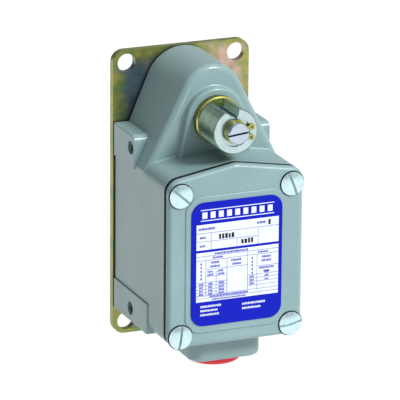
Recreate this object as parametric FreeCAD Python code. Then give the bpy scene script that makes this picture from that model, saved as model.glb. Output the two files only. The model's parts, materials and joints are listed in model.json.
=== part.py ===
"""Heavy-duty rotary limit switch on a steel mounting plate.

Frame: +X to the right, +Z up, and the front of the switch faces -Y. The origin is the centre of the plate's
rear face. A "reach" is a distance in front of that face, so a point at reach r lies at Y = -r. Millimetres.

How it works: a lever clamps on the knurled sleeve. The sleeve turns the spindle, the spindle's pinion
drives a rack plunger up or down, and the plunger carries two contact bridges between fixed contacts. A
spring at each end of the plunger brings everything back to the middle.
"""

import FreeCAD, Part
import math
import os

V = FreeCAD.Vector

# ---------------------------------------------------------------- driving dimensions
# mounting plate
plate_w = 88.9
plate_h = 180.2
plate_t = 4.8
plate_corner_r = 7.5
plate_hole_r = 5.7
plate_hole_spacing_x = 71.4
plate_hole_spacing_z = 164.4
plate_gasket_t = 1.8

# box part of the housing, which the cover closes
box_half_w = 43.5
box_bottom_z = -71.7
box_apex_z = 39.8
box_top_slope = 0.171          # fall of the peaked top per unit of width
box_corner_r = 8.5
box_apex_r = 14.0
box_reach = 84.7
box_wall = 4.5
box_back_wall = 6.0

# head part of the housing, which holds the spindle
head_top_z = 90.3
head_rear_arch_r = 24.2
head_rear_side_deg = 23.1      # lean of the head's sides from upright, at the plate
head_front_arch_r = 19.2
head_front_side_deg = 27.4
head_reach = 54.3
head_edge_r = 3.6
head_wall = 4.6
head_front_wall = 6.0
head_floor_z = 43.0            # floor of the head's cavity, top of the partition
pad_boss_reach = 59.8          # flat boss round the spindle
pad_boss_r = 18.6
pad_boss_foot_half_w = 23.4
pad_boss_edge_r = 1.6
casting_fillet_r = 1.6

# lugs and pads with tapped holes for mounting by the side
lug_half_w = 44.4
lug_top_z = 46.2
lug_bottom_z = 26.0
lug_reach = 38.8
lug_corner_r = 4.0
lug_root = 9.0                 # how far the lugs and pads reach into the box from its side
lug_fillet_r = 0.8
pad_top_z = -52.8
pad_reach = 60.1
side_hole_r = 4.2
side_hole_depth = 12.0
side_hole_reach = 33.4
side_hole_upper_z = 38.0
side_hole_spacing = 101.6

# conduit hub and its transport plug
hub_half_w = 23.0
hub_front_reach = 80.6
hub_bottom_z = -87.0
hub_corner_r = 8.0
hub_edge_r = 2.8
conduit_reach = 57.1           # conduit axis
conduit_r = 12.3
conduit_mouth_r = 14.2         # plain mouth below the thread, which the plug fills
conduit_mouth_depth = 5.0
plug_flange_r = 17.2
plug_flange_t = 5.4
plug_rim_r = 2.4
plug_skirt_wall = 3.0
plug_fit = 0.15
plug_grip_r = 9.0
plug_grip_depth = 3.0
plug_bar_w = 3.0
plug_skirt_gap = 0.4

# cover, its gasket and screws
cover_gasket_t = 3.6
cover_t = 3.4
cover_edge_r = 3.0
cover_screw_x = 35.7
cover_screw_upper_z = 23.7
cover_screw_lower_z = -64.3
cover_boss_r = 8.0
column_r = 8.0
cover_screw_r = 3.15
cover_screw_head_r = 7.3
cover_screw_head_t = 2.1
cover_screw_dome = 1.1
cover_screw_slot_w = 1.5
cover_screw_slot_depth = 1.3
cover_screw_length = 16.0
cover_screw_gap = 0.25          # between a screw and its hole in the cover
cover_screw_tap_extra = 2.0
cover_screw_slot_deg = (-42.0, -68.0, 82.0, 10.0)   # upper left, upper right, lower left, lower right
thread_clearance = 0.05
captive_ring_r = 5.4
captive_ring_t = 1.2
captive_ring_gap = 0.2
gasket_inset = 0.3
panel_rise = 0.7
panel_edge_r = 0.6
screw_head_room = 1.0
panel_half_w = 32.7
panel_top_z = 22.0
panel_bottom_z = -63.2
panel_corner_r = 10.0
label_half_w = 29.2
label_top_z = 18.4
label_bottom_z = -58.6
label_corner_r = 8.0
label_t = 0.5

# spindle, sleeve and bushing
spindle_z = 58.7
bushing_body_r = 12.7
bushing_flange_r = 14.8
bushing_flange_t = 5.2
bushing_chamfer = 0.7
bushing_rear_reach = 34.0
bushing_boss_r = 17.5
journal_r = 9.5
running_clearance = 0.04
sleeve_r = 14.0
sleeve_gap = 0.3
sleeve_length = 23.7
sleeve_bore_r = 6.5
sleeve_recess_r = 9.4
sleeve_recess_depth = 1.4
sleeve_chamfer = 0.7
notch_ramp = (-6.6, 12.3)      # where the notch's ramp leaves the sleeve, from the spindle's axis
notch_corner = (1.5, 7.4)      # bottom of the notch
notch_wall = (2.6, 14.0)       # where the notch's steep wall leaves the sleeve
split_w = 0.9                  # saw cut from the notch to the bore
notch_beyond = 1.4             # how far the notch's outline is carried past the sleeve, as a share
spindle_turn_deg = 6.0         # how far the spindle's slot and key are turned at rest
stub_clearance = 0.03
spindle_tip_reach = 94.7
spindle_slot_w = 1.2
spindle_slot_depth = 1.8
spindle_chamfer = 0.5
spindle_tail = 3.0             # stands out behind the pinion
spindle_neck_r = 3.9
journal_tail = 1.0             # behind the circlip
key_w = 3.0
key_length = 12.0
key_from_rear = 4.0
ring_t = 1.1
ring_outer_r = 7.3
ring_groove_depth = 0.6
ring_play = 0.05               # along the shaft, each side of a ring in its groove
ring_bite = 0.05               # between a ring and the floor of its groove
ring_lug_r = 1.9
ring_lug_at = 10.4
ring_lug_deg = (13.0, -22.0)
ring_neck_half = 1.1           # half the width of the neck between the ring and a lug
ring_hole_r = 0.75
ring_gap_half = 1.1
thrust_washer_t = 1.2
thrust_washer_rim = 1.5
washer_gap = 0.1
circlip_t = 1.2
circlip_rim = 1.6
circlip_groove_depth = 0.9
seal_from_front = 6.0
seal_squeeze = 0.02

# rack and pinion
gear_module = 0.8
pinion_teeth = 12
pressure_deg = 20.0
addendum_share = 0.8
dedendum_share = 1.05
tooth_backlash = 0.14
pinion_width = 8.0
pinion_bore_r = 2.6
pinion_flat = 2.0
fit_gap = 0.02                 # between a fitted pair, each side
plunger_reach = 23.0           # plane of the plunger and of the pinion's middle
plunger_r = 5.0
rack_margin = 0.4              # toothed length beyond what the pinion reaches
rack_tip_offset = 4.04         # from the plunger's axis to the rack's tips
plunger_guide_t = 10.0
plunger_bush_wall = 2.0
seal_wire_r = 1.0
clip_t = 1.0
clip_rim = 1.8
clip_groove_depth = 0.8
clip_mouth = 2.2
pinion_clip_rim = 1.8
pinion_groove_depth = 0.6
pinion_groove_from_end = 0.8
seat_washer_t = 1.0
spring_wire_r = 0.55
spring_turns = 4.5
spring_room = 0.4
spring_clearance = 0.55        # between the plunger and the springs round it
upper_seat_z = 69.5            # underside of the washer that carries the upper spring
upper_spring_top_z = 80.5
lower_seat_z = 21.0            # top of the washer that carries the lower spring
turn_limit_deg = 45.0

# contact block
block_half_w = 27.0
block_bottom_z = -55.6
block_top_z = 6.0
block_floor_t = 5.0
block_front_reach = 30.0
block_channel_half_w = 16.0
block_bridge_t = 5.0
block_sill_t = 3.0
block_hole_gap = 0.2
barrier_w = 2.0
barrier_depth = 3.0
barrier_z = 8.0                # above and below the block's screws
barrier_in = 2.0
carrier_half_w = 5.0
carrier_top_z = -4.0
carrier_bottom_z = -46.0
tang_r = 3.0
tang_length = 8.0
tang_gap = 0.03
plunger_end = 1.0              # stands out above the upper clip's washer
carrier_pin_r = 1.0
window_h = 10.0
window_gap = 0.1
carrier_edge_r = 1.0
upper_window_top_z = -16.0
lower_window_bottom_z = -42.0
bridge_half_l = 10.0
bridge_w = 6.0
bridge_t = 1.2
tip_r = 2.2
tip_t = 0.8
tip_at = 7.6
tip_margin = 0.2               # gap left between the tips at full travel
contact_spring_r = 2.1
contact_spring_wire_r = 0.35
contact_spring_turns = 5.0
strip_t = 1.2
strip_w = 7.0
strip_inner_x = 5.6
terminal_x = 21.5
terminal_tab_half = 4.6
terminal_screw_r = 2.0
terminal_head_r = 3.6
terminal_head_t = 2.2
terminal_screw_in = 6.0        # how deep its shank goes into the block
terminal_tap_depth = 8.0
terminal_gap = 0.1
small_dome = 0.6
clamp_half = 4.0
clamp_t = 1.2
block_screw_z = -29.0
block_screw_r = 2.0
block_screw_head_r = 3.6
block_screw_head_t = 2.4
block_screw_skin = 1.2         # wall left behind its tapped hole
block_screw_tip = 2.0          # its end stops this far short of the wall's rear face
small_slot_w = 0.9
small_slot_depth = 1.0
terminal_slot_deg = 20.0
block_slot_deg = 35.0
ground_slot_deg = -30.0
ground_x = 30.0
ground_z = -46.0
ground_screw_r = 2.4
ground_head_r = 4.8
ground_head_t = 3.0
ground_boss_r = 6.5
ground_boss_t = 3.0
ground_dome = 0.9
ground_tap_depth = 2.0
ground_screw_in = 1.5          # past the boss
plate_screw_r = 2.5
plate_screw_head_r = 5.0
plate_screw_depth = 9.0
plate_screw_x = 36.6
past = 1.0                     # how far a cutting tool runs past a face

# ---------------------------------------------------------------- derived places
housing_back = plate_t + plate_gasket_t
cavity_back = housing_back + box_back_wall
cover_back = box_reach + cover_gasket_t
cover_front = cover_back + cover_t
panel_front = cover_front + panel_rise
side_hole_lower_z = side_hole_upper_z - side_hole_spacing
cover_screw_places = [
    (-cover_screw_x, cover_screw_upper_z),
    (cover_screw_x, cover_screw_upper_z),
    (-cover_screw_x, cover_screw_lower_z),
    (cover_screw_x, cover_screw_lower_z),
]
plate_screw_places = [(s * plate_screw_x, z)
                      for s in (-1, 1) for z in (side_hole_upper_z, cover_screw_lower_z)]
hub_rear_reach = 2 * conduit_reach - hub_front_reach
bushing_front = pad_boss_reach + bushing_flange_t
sleeve_rear = bushing_front + sleeve_gap
sleeve_front = sleeve_rear + sleeve_length
pitch_r = gear_module * pinion_teeth / 2
addendum = addendum_share * gear_module
dedendum = dedendum_share * gear_module
rack_tip_x = -(pitch_r - addendum)
plunger_x = rack_tip_x - rack_tip_offset
travel = pitch_r * math.radians(turn_limit_deg)
spring_mean_r = plunger_r + spring_clearance + spring_wire_r
seat_washer_r = spring_mean_r + 2 * spring_wire_r
rack_mesh_half = math.sqrt((pitch_r + addendum) ** 2 - (plunger_x + plunger_r) ** 2)
rack_half_length = rack_mesh_half + travel + rack_margin
block_x = plunger_x
pinion_rear = plunger_reach - pinion_width / 2
pinion_front = plunger_reach + pinion_width / 2
spindle_rear = pinion_rear - spindle_tail
thrust_front = bushing_rear_reach - washer_gap
circlip_rear = bushing_rear_reach - thrust_washer_t - circlip_t
journal_rear = circlip_rear - journal_tail
seal_reach = bushing_front - seal_from_front
ring_groove_rear = sleeve_front + washer_gap
clip_places = (upper_seat_z - clip_t, lower_seat_z)
pin_z = carrier_top_z - tang_length / 2
guide_r = plunger_r + running_clearance
guide_outer_r = guide_r + plunger_bush_wall
plunger_top_z = upper_seat_z + seat_washer_t + clip_t + plunger_end
stub_r = sleeve_bore_r - stub_clearance


# ---------------------------------------------------------------- helpers
def box(x0, x1, reach0, reach1, z0, z1):
    """A block between two planes each way, with depths given as reaches."""
    return Part.makeBox(x1 - x0, reach1 - reach0, z1 - z0, V(x0, -reach1, z0))


def rod_y(r, x, z, reach0, reach1):
    """A cylinder along Y, from reach0 forward to reach1."""
    return Part.makeCylinder(r, reach1 - reach0, V(x, -reach0, z), V(0, -1, 0))


def rod_z(r, x, reach, z0, z1):
    return Part.makeCylinder(r, z1 - z0, V(x, -reach, z0), V(0, 0, 1))


def rod_x(r, x0, x1, reach, z):
    return Part.makeCylinder(r, x1 - x0, V(x0, -reach, z), V(1, 0, 0))


def tube_y(outer, inner, x, z, reach0, reach1):
    return rod_y(outer, x, z, reach0, reach1).cut(rod_y(inner, x, z, reach0 - past, reach1 + past))


def tube_z(outer, inner, x, reach, z0, z1):
    return rod_z(outer, x, reach, z0, z1).cut(rod_z(inner, x, reach, z0 - past, z1 + past))


def rounded_wire(points, radii, place):
    """A closed wire through 2-D points, each corner rounded. place() maps (a, b) into space."""
    n = len(points)
    starts, ends, middles = [], [], []
    for i in range(n):
        p = V(*points[i], 0)
        to_last = (V(*points[i - 1], 0) - p).normalize()
        to_next = (V(*points[(i + 1) % n], 0) - p).normalize()
        r = radii[i]
        half = to_last.getAngle(to_next) / 2
        cut = r / math.tan(half)
        centre = p + (to_last + to_next).normalize() * (r / math.sin(half))
        starts.append(p + to_last * cut)
        ends.append(p + to_next * cut)
        middles.append(centre + (p - centre) * math.sin(half))
    edges = []
    for i in range(n):
        if radii[i] > 0:
            arc = [place(q.x, q.y) for q in (starts[i], middles[i], ends[i])]
            edges.append(Part.Arc(*arc).toShape())
        edges.append(Part.LineSegment(place(ends[i].x, ends[i].y),
                                      place(starts[(i + 1) % n].x, starts[(i + 1) % n].y)).toShape())
    return Part.Wire(edges)


def front_wire(points, radii, reach):
    return rounded_wire(points, radii, lambda a, b: V(a, -reach, b))


def front_prism(points, radii, reach0, reach1):
    """An outline seen from the front, extruded from reach0 to reach1."""
    return Part.Face(front_wire(points, radii, reach0)).extrude(V(0, reach0 - reach1, 0))


def plan_prism(points, radii, z0, z1):
    """An outline of (x, reach) points seen from above, extruded from z0 to z1."""
    wire = rounded_wire(points, radii, lambda a, b: V(a, -b, z0))
    return Part.Face(wire).extrude(V(0, 0, z1 - z0))


def rectangle(half_w, z0, z1):
    return [(-half_w, z0), (half_w, z0), (half_w, z1), (-half_w, z1)]


def fillet_where(shape, radius, test):
    """Rounds the edges whose bounding boxes pass the test."""
    return shape.makeFillet(radius, [e for e in shape.Edges if test(e.BoundBox)])


def chamfer_where(shape, size, test):
    return shape.makeChamfer(size, [e for e in shape.Edges if test(e.BoundBox)])


def in_plane_y(b, reach, slack=0.01):
    return abs(b.YMin + reach) < slack and abs(b.YMax + reach) < slack


def in_plane_z(b, z, slack=0.01):
    return abs(b.ZMin - z) < slack and abs(b.ZMax - z) < slack


def coil(x, reach, z0, z1, mean_r, wire_r, turns):
    """A compression spring along Z whose wire just touches the planes z0 and z1."""
    low, high = z0 + wire_r, z1 - wire_r
    helix = Part.makeHelix((high - low) / turns, high - low, mean_r)
    ring = Part.Wire([Part.makeCircle(wire_r, V(mean_r, 0, 0), V(0, 1, 0))])
    spring = Part.Wire(helix.Edges).makePipeShell([ring], True, True)
    spring.translate(V(x, -reach, low))
    return spring


def slotted_screw(head_r, head_t, dome, shank_r, length, slot_w, slot_depth, slot_deg):
    """A slotted screw along Y with its head's underside at Y = 0 and its shank going to +Y."""
    head = Part.makeCylinder(head_r, head_t, V(0, 0, 0), V(0, -1, 0))
    if dome > 0:
        ball_r = (head_r ** 2 + dome ** 2) / (2 * dome)
        head = head.common(Part.makeSphere(ball_r, V(0, ball_r - head_t, 0)))
    slot = Part.makeBox(2 * head_r + 2 * past, slot_depth, slot_w, V(-head_r - past, -head_t, -slot_w / 2))
    slot.rotate(V(0, 0, 0), V(0, -1, 0), slot_deg)
    shank = Part.makeCylinder(shank_r, length, V(0, 0, 0), V(0, 1, 0))
    return head.cut(slot).fuse(shank).removeSplitter()


def moved(shape, x, reach, z):
    copy = shape.copy()
    copy.translate(V(x, -reach, z))
    return copy


def group(solids):
    """Separate solids that share a node."""
    return Part.makeCompound([s for part in solids for s in part.Solids])


# ---------------------------------------------------------------- outlines
def box_outline(inset=0.0):
    """The peaked outline that box, gasket and cover share, inset by a wall."""
    half = box_half_w - inset
    drop = box_top_slope * half
    rise = inset * math.sqrt(1 + box_top_slope ** 2)
    apex = box_apex_z - rise
    points = [(-half, box_bottom_z + inset), (half, box_bottom_z + inset), (half, apex - drop),
              (0.0, apex), (-half, apex - drop)]
    corner = max(box_corner_r - inset, past)
    return points, [corner, corner, corner, box_apex_r, corner]


def head_wire(arch_r, side_deg, reach, inset=0.0, bottom_z=0.0):
    """The head's outline: an arch, two leaning sides that run out to the box's sides, and a bottom edge."""
    lean = math.radians(side_deg)
    r = arch_r - inset
    centre_z = head_top_z - arch_r
    half = box_half_w - inset
    tangent = (r * math.cos(lean), centre_z + r * math.sin(lean))
    side_z = max(tangent[1] - (half - tangent[0]) / math.tan(lean), bottom_z + past)
    side_x = tangent[0] + (tangent[1] - side_z) * math.tan(lean)
    right = [V(side_x, -reach, bottom_z), V(side_x, -reach, side_z), V(tangent[0], -reach, tangent[1])]
    left = [V(-p.x, p.y, p.z) for p in right]
    top = V(0, -reach, centre_z + r)
    return Part.Wire([
        Part.LineSegment(left[0], right[0]).toShape(),
        Part.LineSegment(right[0], right[1]).toShape(),
        Part.LineSegment(right[1], right[2]).toShape(),
        Part.Arc(right[2], top, left[2]).toShape(),
        Part.LineSegment(left[2], left[1]).toShape(),
        Part.LineSegment(left[1], left[0]).toShape(),
    ])


def head_lean(reach):
    """Arch radius and lean of the sides at a reach, between the rear and front values."""
    share = (reach - housing_back) / (head_reach - housing_back)
    arch = head_rear_arch_r + share * (head_front_arch_r - head_rear_arch_r)
    lean = head_rear_side_deg + share * (head_front_side_deg - head_rear_side_deg)
    return arch, lean


def head_loft(reach0, reach1, inset=0.0, bottom_z=0.0):
    wires = [head_wire(*head_lean(r), r, inset, bottom_z) for r in (reach0, reach1)]
    return Part.makeLoft(wires, True, True)


def boss_outline():
    """The arched boss round the spindle, which flares down to the peaked top of the box."""
    r = pad_boss_r
    foot_z = box_apex_z - box_wall
    reach_x, rise_z = pad_boss_foot_half_w, spindle_z - foot_z
    away = math.hypot(reach_x, rise_z)
    lean = math.atan2(reach_x, rise_z) - math.asin(r / away)
    touch = V(r * math.cos(lean), 0, spindle_z + r * math.sin(lean))
    return touch, V(reach_x, 0, foot_z)


def boss_wire(reach):
    touch, foot = boss_outline()
    shift = V(0, -reach, 0)
    right, right_foot = touch + shift, foot + shift
    left, left_foot = V(-right.x, right.y, right.z), V(-right_foot.x, right_foot.y, right_foot.z)
    top = V(0, -reach, spindle_z + pad_boss_r)
    return Part.Wire([
        Part.LineSegment(left_foot, right_foot).toShape(),
        Part.LineSegment(right_foot, right).toShape(),
        Part.Arc(right, top, left).toShape(),
        Part.LineSegment(left, left_foot).toShape(),
    ])


# ---------------------------------------------------------------- plate, gaskets, housing
def mounting_plate():
    plate = front_prism(rectangle(plate_w / 2, -plate_h / 2, plate_h / 2), [plate_corner_r] * 4, 0, plate_t)
    for sx in (-1, 1):
        for sz in (-1, 1):
            x, z = sx * plate_hole_spacing_x / 2, sz * plate_hole_spacing_z / 2
            plate = plate.cut(rod_y(plate_hole_r, x, z, -past, plate_t + past))
    for x, z in plate_screw_places:
        plate = plate.cut(plate_screw_room(x, z, 0, plate_t + past))
    return plate


def plate_screw_room(x, z, reach0, reach1):
    """The hole and countersink of one plate screw."""
    sink_depth = plate_screw_head_r - plate_screw_r
    shank = rod_y(plate_screw_r + thread_clearance, x, z, reach0 - past, reach1)
    sink = Part.makeCone(plate_screw_head_r + thread_clearance, plate_screw_r + thread_clearance,
                         sink_depth,
                         V(x, 0, z), V(0, -1, 0))
    return shank.fuse(sink)


def plate_screws():
    """Countersunk screws that hold the housing on the plate from behind."""
    screws = []
    for x, z in plate_screw_places:
        head_t = plate_screw_head_r - plate_screw_r
        head = Part.makeCone(plate_screw_head_r, plate_screw_r, head_t, V(x, 0, z), V(0, -1, 0))
        shank = rod_y(plate_screw_r, x, z, head_t, housing_back + plate_screw_depth)
        slot = box(x - small_slot_w / 2, x + small_slot_w / 2, -past, small_slot_depth,
                   z - plate_screw_head_r - past, z + plate_screw_head_r + past)
        screws.append(head.fuse(shank).cut(slot).removeSplitter())
    return group(screws)


def lug(side):
    """The upper lug and the lower pad on one side, each with its front top corner rounded."""
    parts = []
    for z0, z1, reach, corner in ((lug_bottom_z, lug_top_z, lug_reach, lug_corner_r),
                                  (box_bottom_z, pad_top_z, pad_reach, 0)):
        outline = [(housing_back, z0), (reach, z0), (reach, z1), (housing_back, z1)]
        inner, outer = sorted((side * (box_half_w - lug_root), side * lug_half_w))
        wire = rounded_wire(outline, [0, 0, corner, 0], lambda a, b: V(inner, -a, b))
        parts.append(Part.Face(wire).extrude(V(outer - inner, 0, 0)))
    return parts


def housing_blank():
    """The casting's outside, with its cavities still solid."""
    head = head_loft(housing_back, head_reach)
    head = fillet_where(head, head_edge_r, lambda b: in_plane_y(b, head_reach) and b.ZMax > head_edge_r)
    boss_root = head_reach - head_edge_r
    boss = Part.Face(boss_wire(boss_root)).extrude(V(0, boss_root - pad_boss_reach, 0))
    boss = fillet_where(boss, pad_boss_edge_r,
                        lambda b: in_plane_y(b, pad_boss_reach) and b.ZMax > spindle_z)
    body = front_prism(*box_outline(), housing_back, box_reach)
    hub_outline = [(-hub_half_w, hub_rear_reach), (hub_half_w, hub_rear_reach),
                   (hub_half_w, hub_front_reach), (-hub_half_w, hub_front_reach)]
    hub = plan_prism(hub_outline, [hub_corner_r] * 4, hub_bottom_z, box_bottom_z + box_wall)
    hub = fillet_where(hub, hub_edge_r, lambda b: in_plane_z(b, hub_bottom_z))
    blank = body.fuse([head, boss, hub] + lug(-1) + lug(1)).removeSplitter()
    # small radii where the boss and the head's face meet what they stand on
    blank = fillet_where(blank, casting_fillet_r, lambda b: in_plane_y(b, head_reach))
    return fillet_where(blank, lug_fillet_r, lug_edge)


def lug_edge(b):
    """True for the outer edges of the lugs' and pads' front faces and for the lugs' top edges."""
    outer = abs(abs(b.XMin) - lug_half_w) < 0.01 and abs(abs(b.XMax) - lug_half_w) < 0.01
    front = in_plane_y(b, lug_reach) or in_plane_y(b, pad_reach)
    return outer and (front or in_plane_z(b, lug_top_z)) and b.DiagonalLength > lug_corner_r


def head_cavity():
    """The room behind the head, open at the back, less the bosses that stand in it."""
    room = head_loft(housing_back, head_reach - head_front_wall, head_wall, head_floor_z)
    bushing_boss = rod_y(bushing_boss_r, 0, spindle_z, bushing_rear_reach, head_reach)
    spring_post = rod_z(seat_washer_r, plunger_x, plunger_reach, upper_spring_top_z, head_top_z)
    pocket = rod_z(seat_washer_r + spring_room, plunger_x, plunger_reach, head_floor_z, upper_spring_top_z)
    return room.cut(bushing_boss.fuse(spring_post)).fuse(pocket)


def box_cavity():
    """The room behind the cover, less the four columns that take its screws."""
    room = front_prism(*box_outline(box_wall), cavity_back, box_reach + past)
    columns = [rod_y(column_r, x, z, housing_back, box_reach + 2 * past) for x, z in cover_screw_places]
    return room.cut(columns[0].fuse(columns[1:]))


def housing_bores():
    """Every round hole in the casting."""
    bushing_bore = rod_y(bushing_body_r, 0, spindle_z, bushing_rear_reach - past, pad_boss_reach + past)
    guide_bore = rod_z(guide_outer_r, plunger_x, plunger_reach, box_apex_z - plunger_guide_t,
                       head_floor_z + past)
    thread = rod_z(conduit_r, 0, conduit_reach, hub_bottom_z - past, box_bottom_z + box_wall + past)
    mouth = rod_z(conduit_mouth_r, 0, conduit_reach, hub_bottom_z - past,
                  hub_bottom_z + conduit_mouth_depth)
    bores = [bushing_bore, guide_bore, thread, mouth]
    for x, z in cover_screw_places:
        bores.append(rod_y(cover_screw_r + thread_clearance, x, z,
                           cover_front - cover_screw_length - cover_screw_tap_extra, box_reach + past))
    for x, z in plate_screw_places:
        bores.append(rod_y(plate_screw_r + thread_clearance, x, z, housing_back - past,
                           housing_back + plate_screw_depth + past))
    for side in (-1, 1):
        for z in (side_hole_upper_z, side_hole_lower_z):
            x0, x1 = sorted((side * (lug_half_w + past), side * (lug_half_w - side_hole_depth)))
            bores.append(rod_x(side_hole_r, x0, x1, side_hole_reach, z))
        bores.append(rod_y(block_screw_r + thread_clearance, block_x + side * terminal_x, block_screw_z,
                           housing_back + block_screw_skin, cavity_back + past))
    return bores


def housing():
    shell = housing_blank().cut(box_cavity().fuse(head_cavity()))
    bores = housing_bores()
    shell = shell.cut(bores[0].fuse(bores[1:]))
    earth_boss = rod_y(ground_boss_r, ground_x, ground_z, cavity_back - past, cavity_back + ground_boss_t)
    tapped = rod_y(ground_screw_r + thread_clearance, ground_x, ground_z,
                   cavity_back - ground_tap_depth, cavity_back + ground_boss_t + past)
    return shell.fuse(earth_boss).cut(tapped).removeSplitter()


def rear_outline_prism(reach0, reach1):
    """The housing's rear outline as a sheet: head, lugs, pads and box together."""
    arch = Part.Face(head_wire(head_rear_arch_r, head_rear_side_deg, reach0))
    head = arch.extrude(V(0, reach0 - reach1, 0))
    body = front_prism(*box_outline(), reach0, reach1)
    bars = [box(-lug_half_w, lug_half_w, reach0, reach1, lug_bottom_z, lug_top_z),
            box(-lug_half_w, lug_half_w, reach0, reach1, box_bottom_z, pad_top_z)]
    return body.fuse([head] + bars).removeSplitter()


def plate_gasket():
    sheet = rear_outline_prism(plate_t, housing_back)
    opening = Part.Face(head_wire(head_rear_arch_r, head_rear_side_deg, plate_t - past, head_wall,
                                  head_floor_z))
    sheet = sheet.cut(opening.extrude(V(0, -plate_gasket_t - 2 * past, 0)))
    for x, z in plate_screw_places:
        sheet = sheet.cut(rod_y(plate_screw_r + thread_clearance, x, z, plate_t - past,
                                housing_back + past))
    return sheet


# ---------------------------------------------------------------- cover and what is on it
def cover_gasket():
    sheet = front_prism(*box_outline(gasket_inset), box_reach, cover_back)
    opening = front_prism(*box_outline(box_wall), box_reach - past, cover_back + past)
    kept = [rod_y(column_r, x, z, box_reach - 2 * past, cover_back + 2 * past)
            for x, z in cover_screw_places]
    sheet = sheet.cut(opening.cut(kept[0].fuse(kept[1:])))
    for x, z in cover_screw_places:
        sheet = sheet.cut(rod_y(captive_ring_r + captive_ring_gap, x, z, box_reach - past,
                                cover_back + past))
    return sheet


def cover():
    lid = front_prism(*box_outline(), cover_back, cover_front)
    lid = fillet_where(lid, cover_edge_r, lambda b: in_plane_y(b, cover_front))
    edge = front_prism(*box_outline(), cover_back, cover_front)
    seats = [rod_y(cover_boss_r, x, z, cover_back, cover_front).common(edge) for x, z in cover_screw_places]
    panel = front_prism(rectangle(panel_half_w, panel_bottom_z, panel_top_z), [panel_corner_r] * 4,
                        cover_front - past, panel_front)
    panel = fillet_where(panel, panel_edge_r, lambda b: in_plane_y(b, panel_front))
    head_room = [rod_y(cover_screw_head_r + screw_head_room, x, z, cover_front, panel_front + past)
                 for x, z in cover_screw_places]
    holes = [rod_y(cover_screw_r + cover_screw_gap, x, z, cover_back - past, cover_front + past)
             for x, z in cover_screw_places]
    cuts = head_room + holes
    return lid.fuse(seats + [panel]).cut(cuts[0].fuse(cuts[1:])).removeSplitter()


def cover_screws():
    screws = []
    for (x, z), turn in zip(cover_screw_places, cover_screw_slot_deg):
        screw = slotted_screw(cover_screw_head_r, cover_screw_head_t, cover_screw_dome, cover_screw_r,
                              cover_screw_length, cover_screw_slot_w, cover_screw_slot_depth, turn)
        screws.append(moved(screw, x, cover_front, z))
    return group(screws)


def captive_rings():
    """Nylon rings that keep the screws in the cover when it is off."""
    return group([tube_y(captive_ring_r, cover_screw_r + thread_clearance, x, z,
                         cover_back - captive_ring_t,
                         cover_back) for x, z in cover_screw_places])


def nameplate():
    return front_prism(rectangle(label_half_w, label_bottom_z, label_top_z), [label_corner_r] * 4,
                       panel_front, panel_front + label_t)


def conduit_plug():
    bottom = hub_bottom_z - plug_flange_t
    flange = rod_z(plug_flange_r, 0, conduit_reach, bottom, hub_bottom_z)
    flange = fillet_where(flange, plug_rim_r, lambda b: in_plane_z(b, bottom))
    grip = rod_z(plug_grip_r, 0, conduit_reach, bottom - past, bottom + plug_grip_depth)
    bar = box(-plug_bar_w / 2, plug_bar_w / 2, conduit_reach - plug_grip_r, conduit_reach + plug_grip_r,
              bottom, bottom + plug_grip_depth)
    skirt_r = conduit_mouth_r - plug_fit
    skirt = tube_z(skirt_r, skirt_r - plug_skirt_wall, 0, conduit_reach, hub_bottom_z,
                   hub_bottom_z + conduit_mouth_depth - plug_skirt_gap)
    return flange.cut(grip).fuse([bar, skirt]).removeSplitter()


# ---------------------------------------------------------------- spindle group
def shaft_bushing():
    body = rod_y(bushing_body_r, 0, spindle_z, bushing_rear_reach, pad_boss_reach)
    flange = rod_y(bushing_flange_r, 0, spindle_z, pad_boss_reach, bushing_front)
    flange = chamfer_where(flange, bushing_chamfer, lambda b: in_plane_y(b, bushing_front))
    bore = rod_y(journal_r + running_clearance, 0, spindle_z, bushing_rear_reach - past,
                 bushing_front + past)
    return body.fuse(flange).cut(bore).removeSplitter()


def key_room(grow=0.0):
    """The key lies half in the spindle and half in the sleeve, on the side away from the notch."""
    rear = sleeve_rear + key_from_rear
    half = key_w / 2 + grow
    middle_z = spindle_z - sleeve_bore_r
    return turned(box(-half, half, rear - grow, rear + key_length + grow, middle_z - half, middle_z + half))


def turned(shape):
    """Turns a shape from upright to the spindle's rest position."""
    copy = shape.copy()
    copy.rotate(V(0, 0, spindle_z), V(0, -1, 0), spindle_turn_deg)
    return copy


def spindle():
    """Slotted front stub, journal in the bushing, neck and flatted tail that carries the pinion."""
    stub = rod_y(stub_r, 0, spindle_z, sleeve_rear - past, spindle_tip_reach)
    stub = chamfer_where(stub, spindle_chamfer, lambda b: in_plane_y(b, spindle_tip_reach))
    journal = rod_y(journal_r, 0, spindle_z, journal_rear, sleeve_rear)
    neck = rod_y(spindle_neck_r, 0, spindle_z, pinion_front, journal_rear)
    tail = rod_y(pinion_bore_r, 0, spindle_z, spindle_rear, pinion_front)
    tail = tail.cut(box(pinion_flat, pinion_bore_r + past, spindle_rear - past, pinion_front,
                        spindle_z - pinion_bore_r, spindle_z + pinion_bore_r))
    slot = box(-stub_r - past, stub_r + past, spindle_tip_reach - spindle_slot_depth,
               spindle_tip_reach + past,
               spindle_z - spindle_slot_w / 2, spindle_z + spindle_slot_w / 2)
    pinion_groove = spindle_rear + pinion_groove_from_end
    cuts = [
        groove(stub_r, ring_groove_depth, ring_groove_rear, ring_t),
        groove(journal_r, circlip_groove_depth, circlip_rear, circlip_t),
        groove(pinion_bore_r, pinion_groove_depth, pinion_groove, clip_t),
        Part.makeTorus(journal_r, seal_wire_r, V(0, -seal_reach, spindle_z), V(0, 1, 0)),
        turned(slot),
        key_room(stub_clearance),
    ]
    return stub.fuse([journal, neck, tail]).cut(cuts[0].fuse(cuts[1:])).removeSplitter()


def groove(shaft_r, depth, rear, width):
    """A ring groove on the spindle's axis."""
    return tube_y(shaft_r + past, shaft_r - depth, 0, spindle_z, rear, rear + width)


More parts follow.
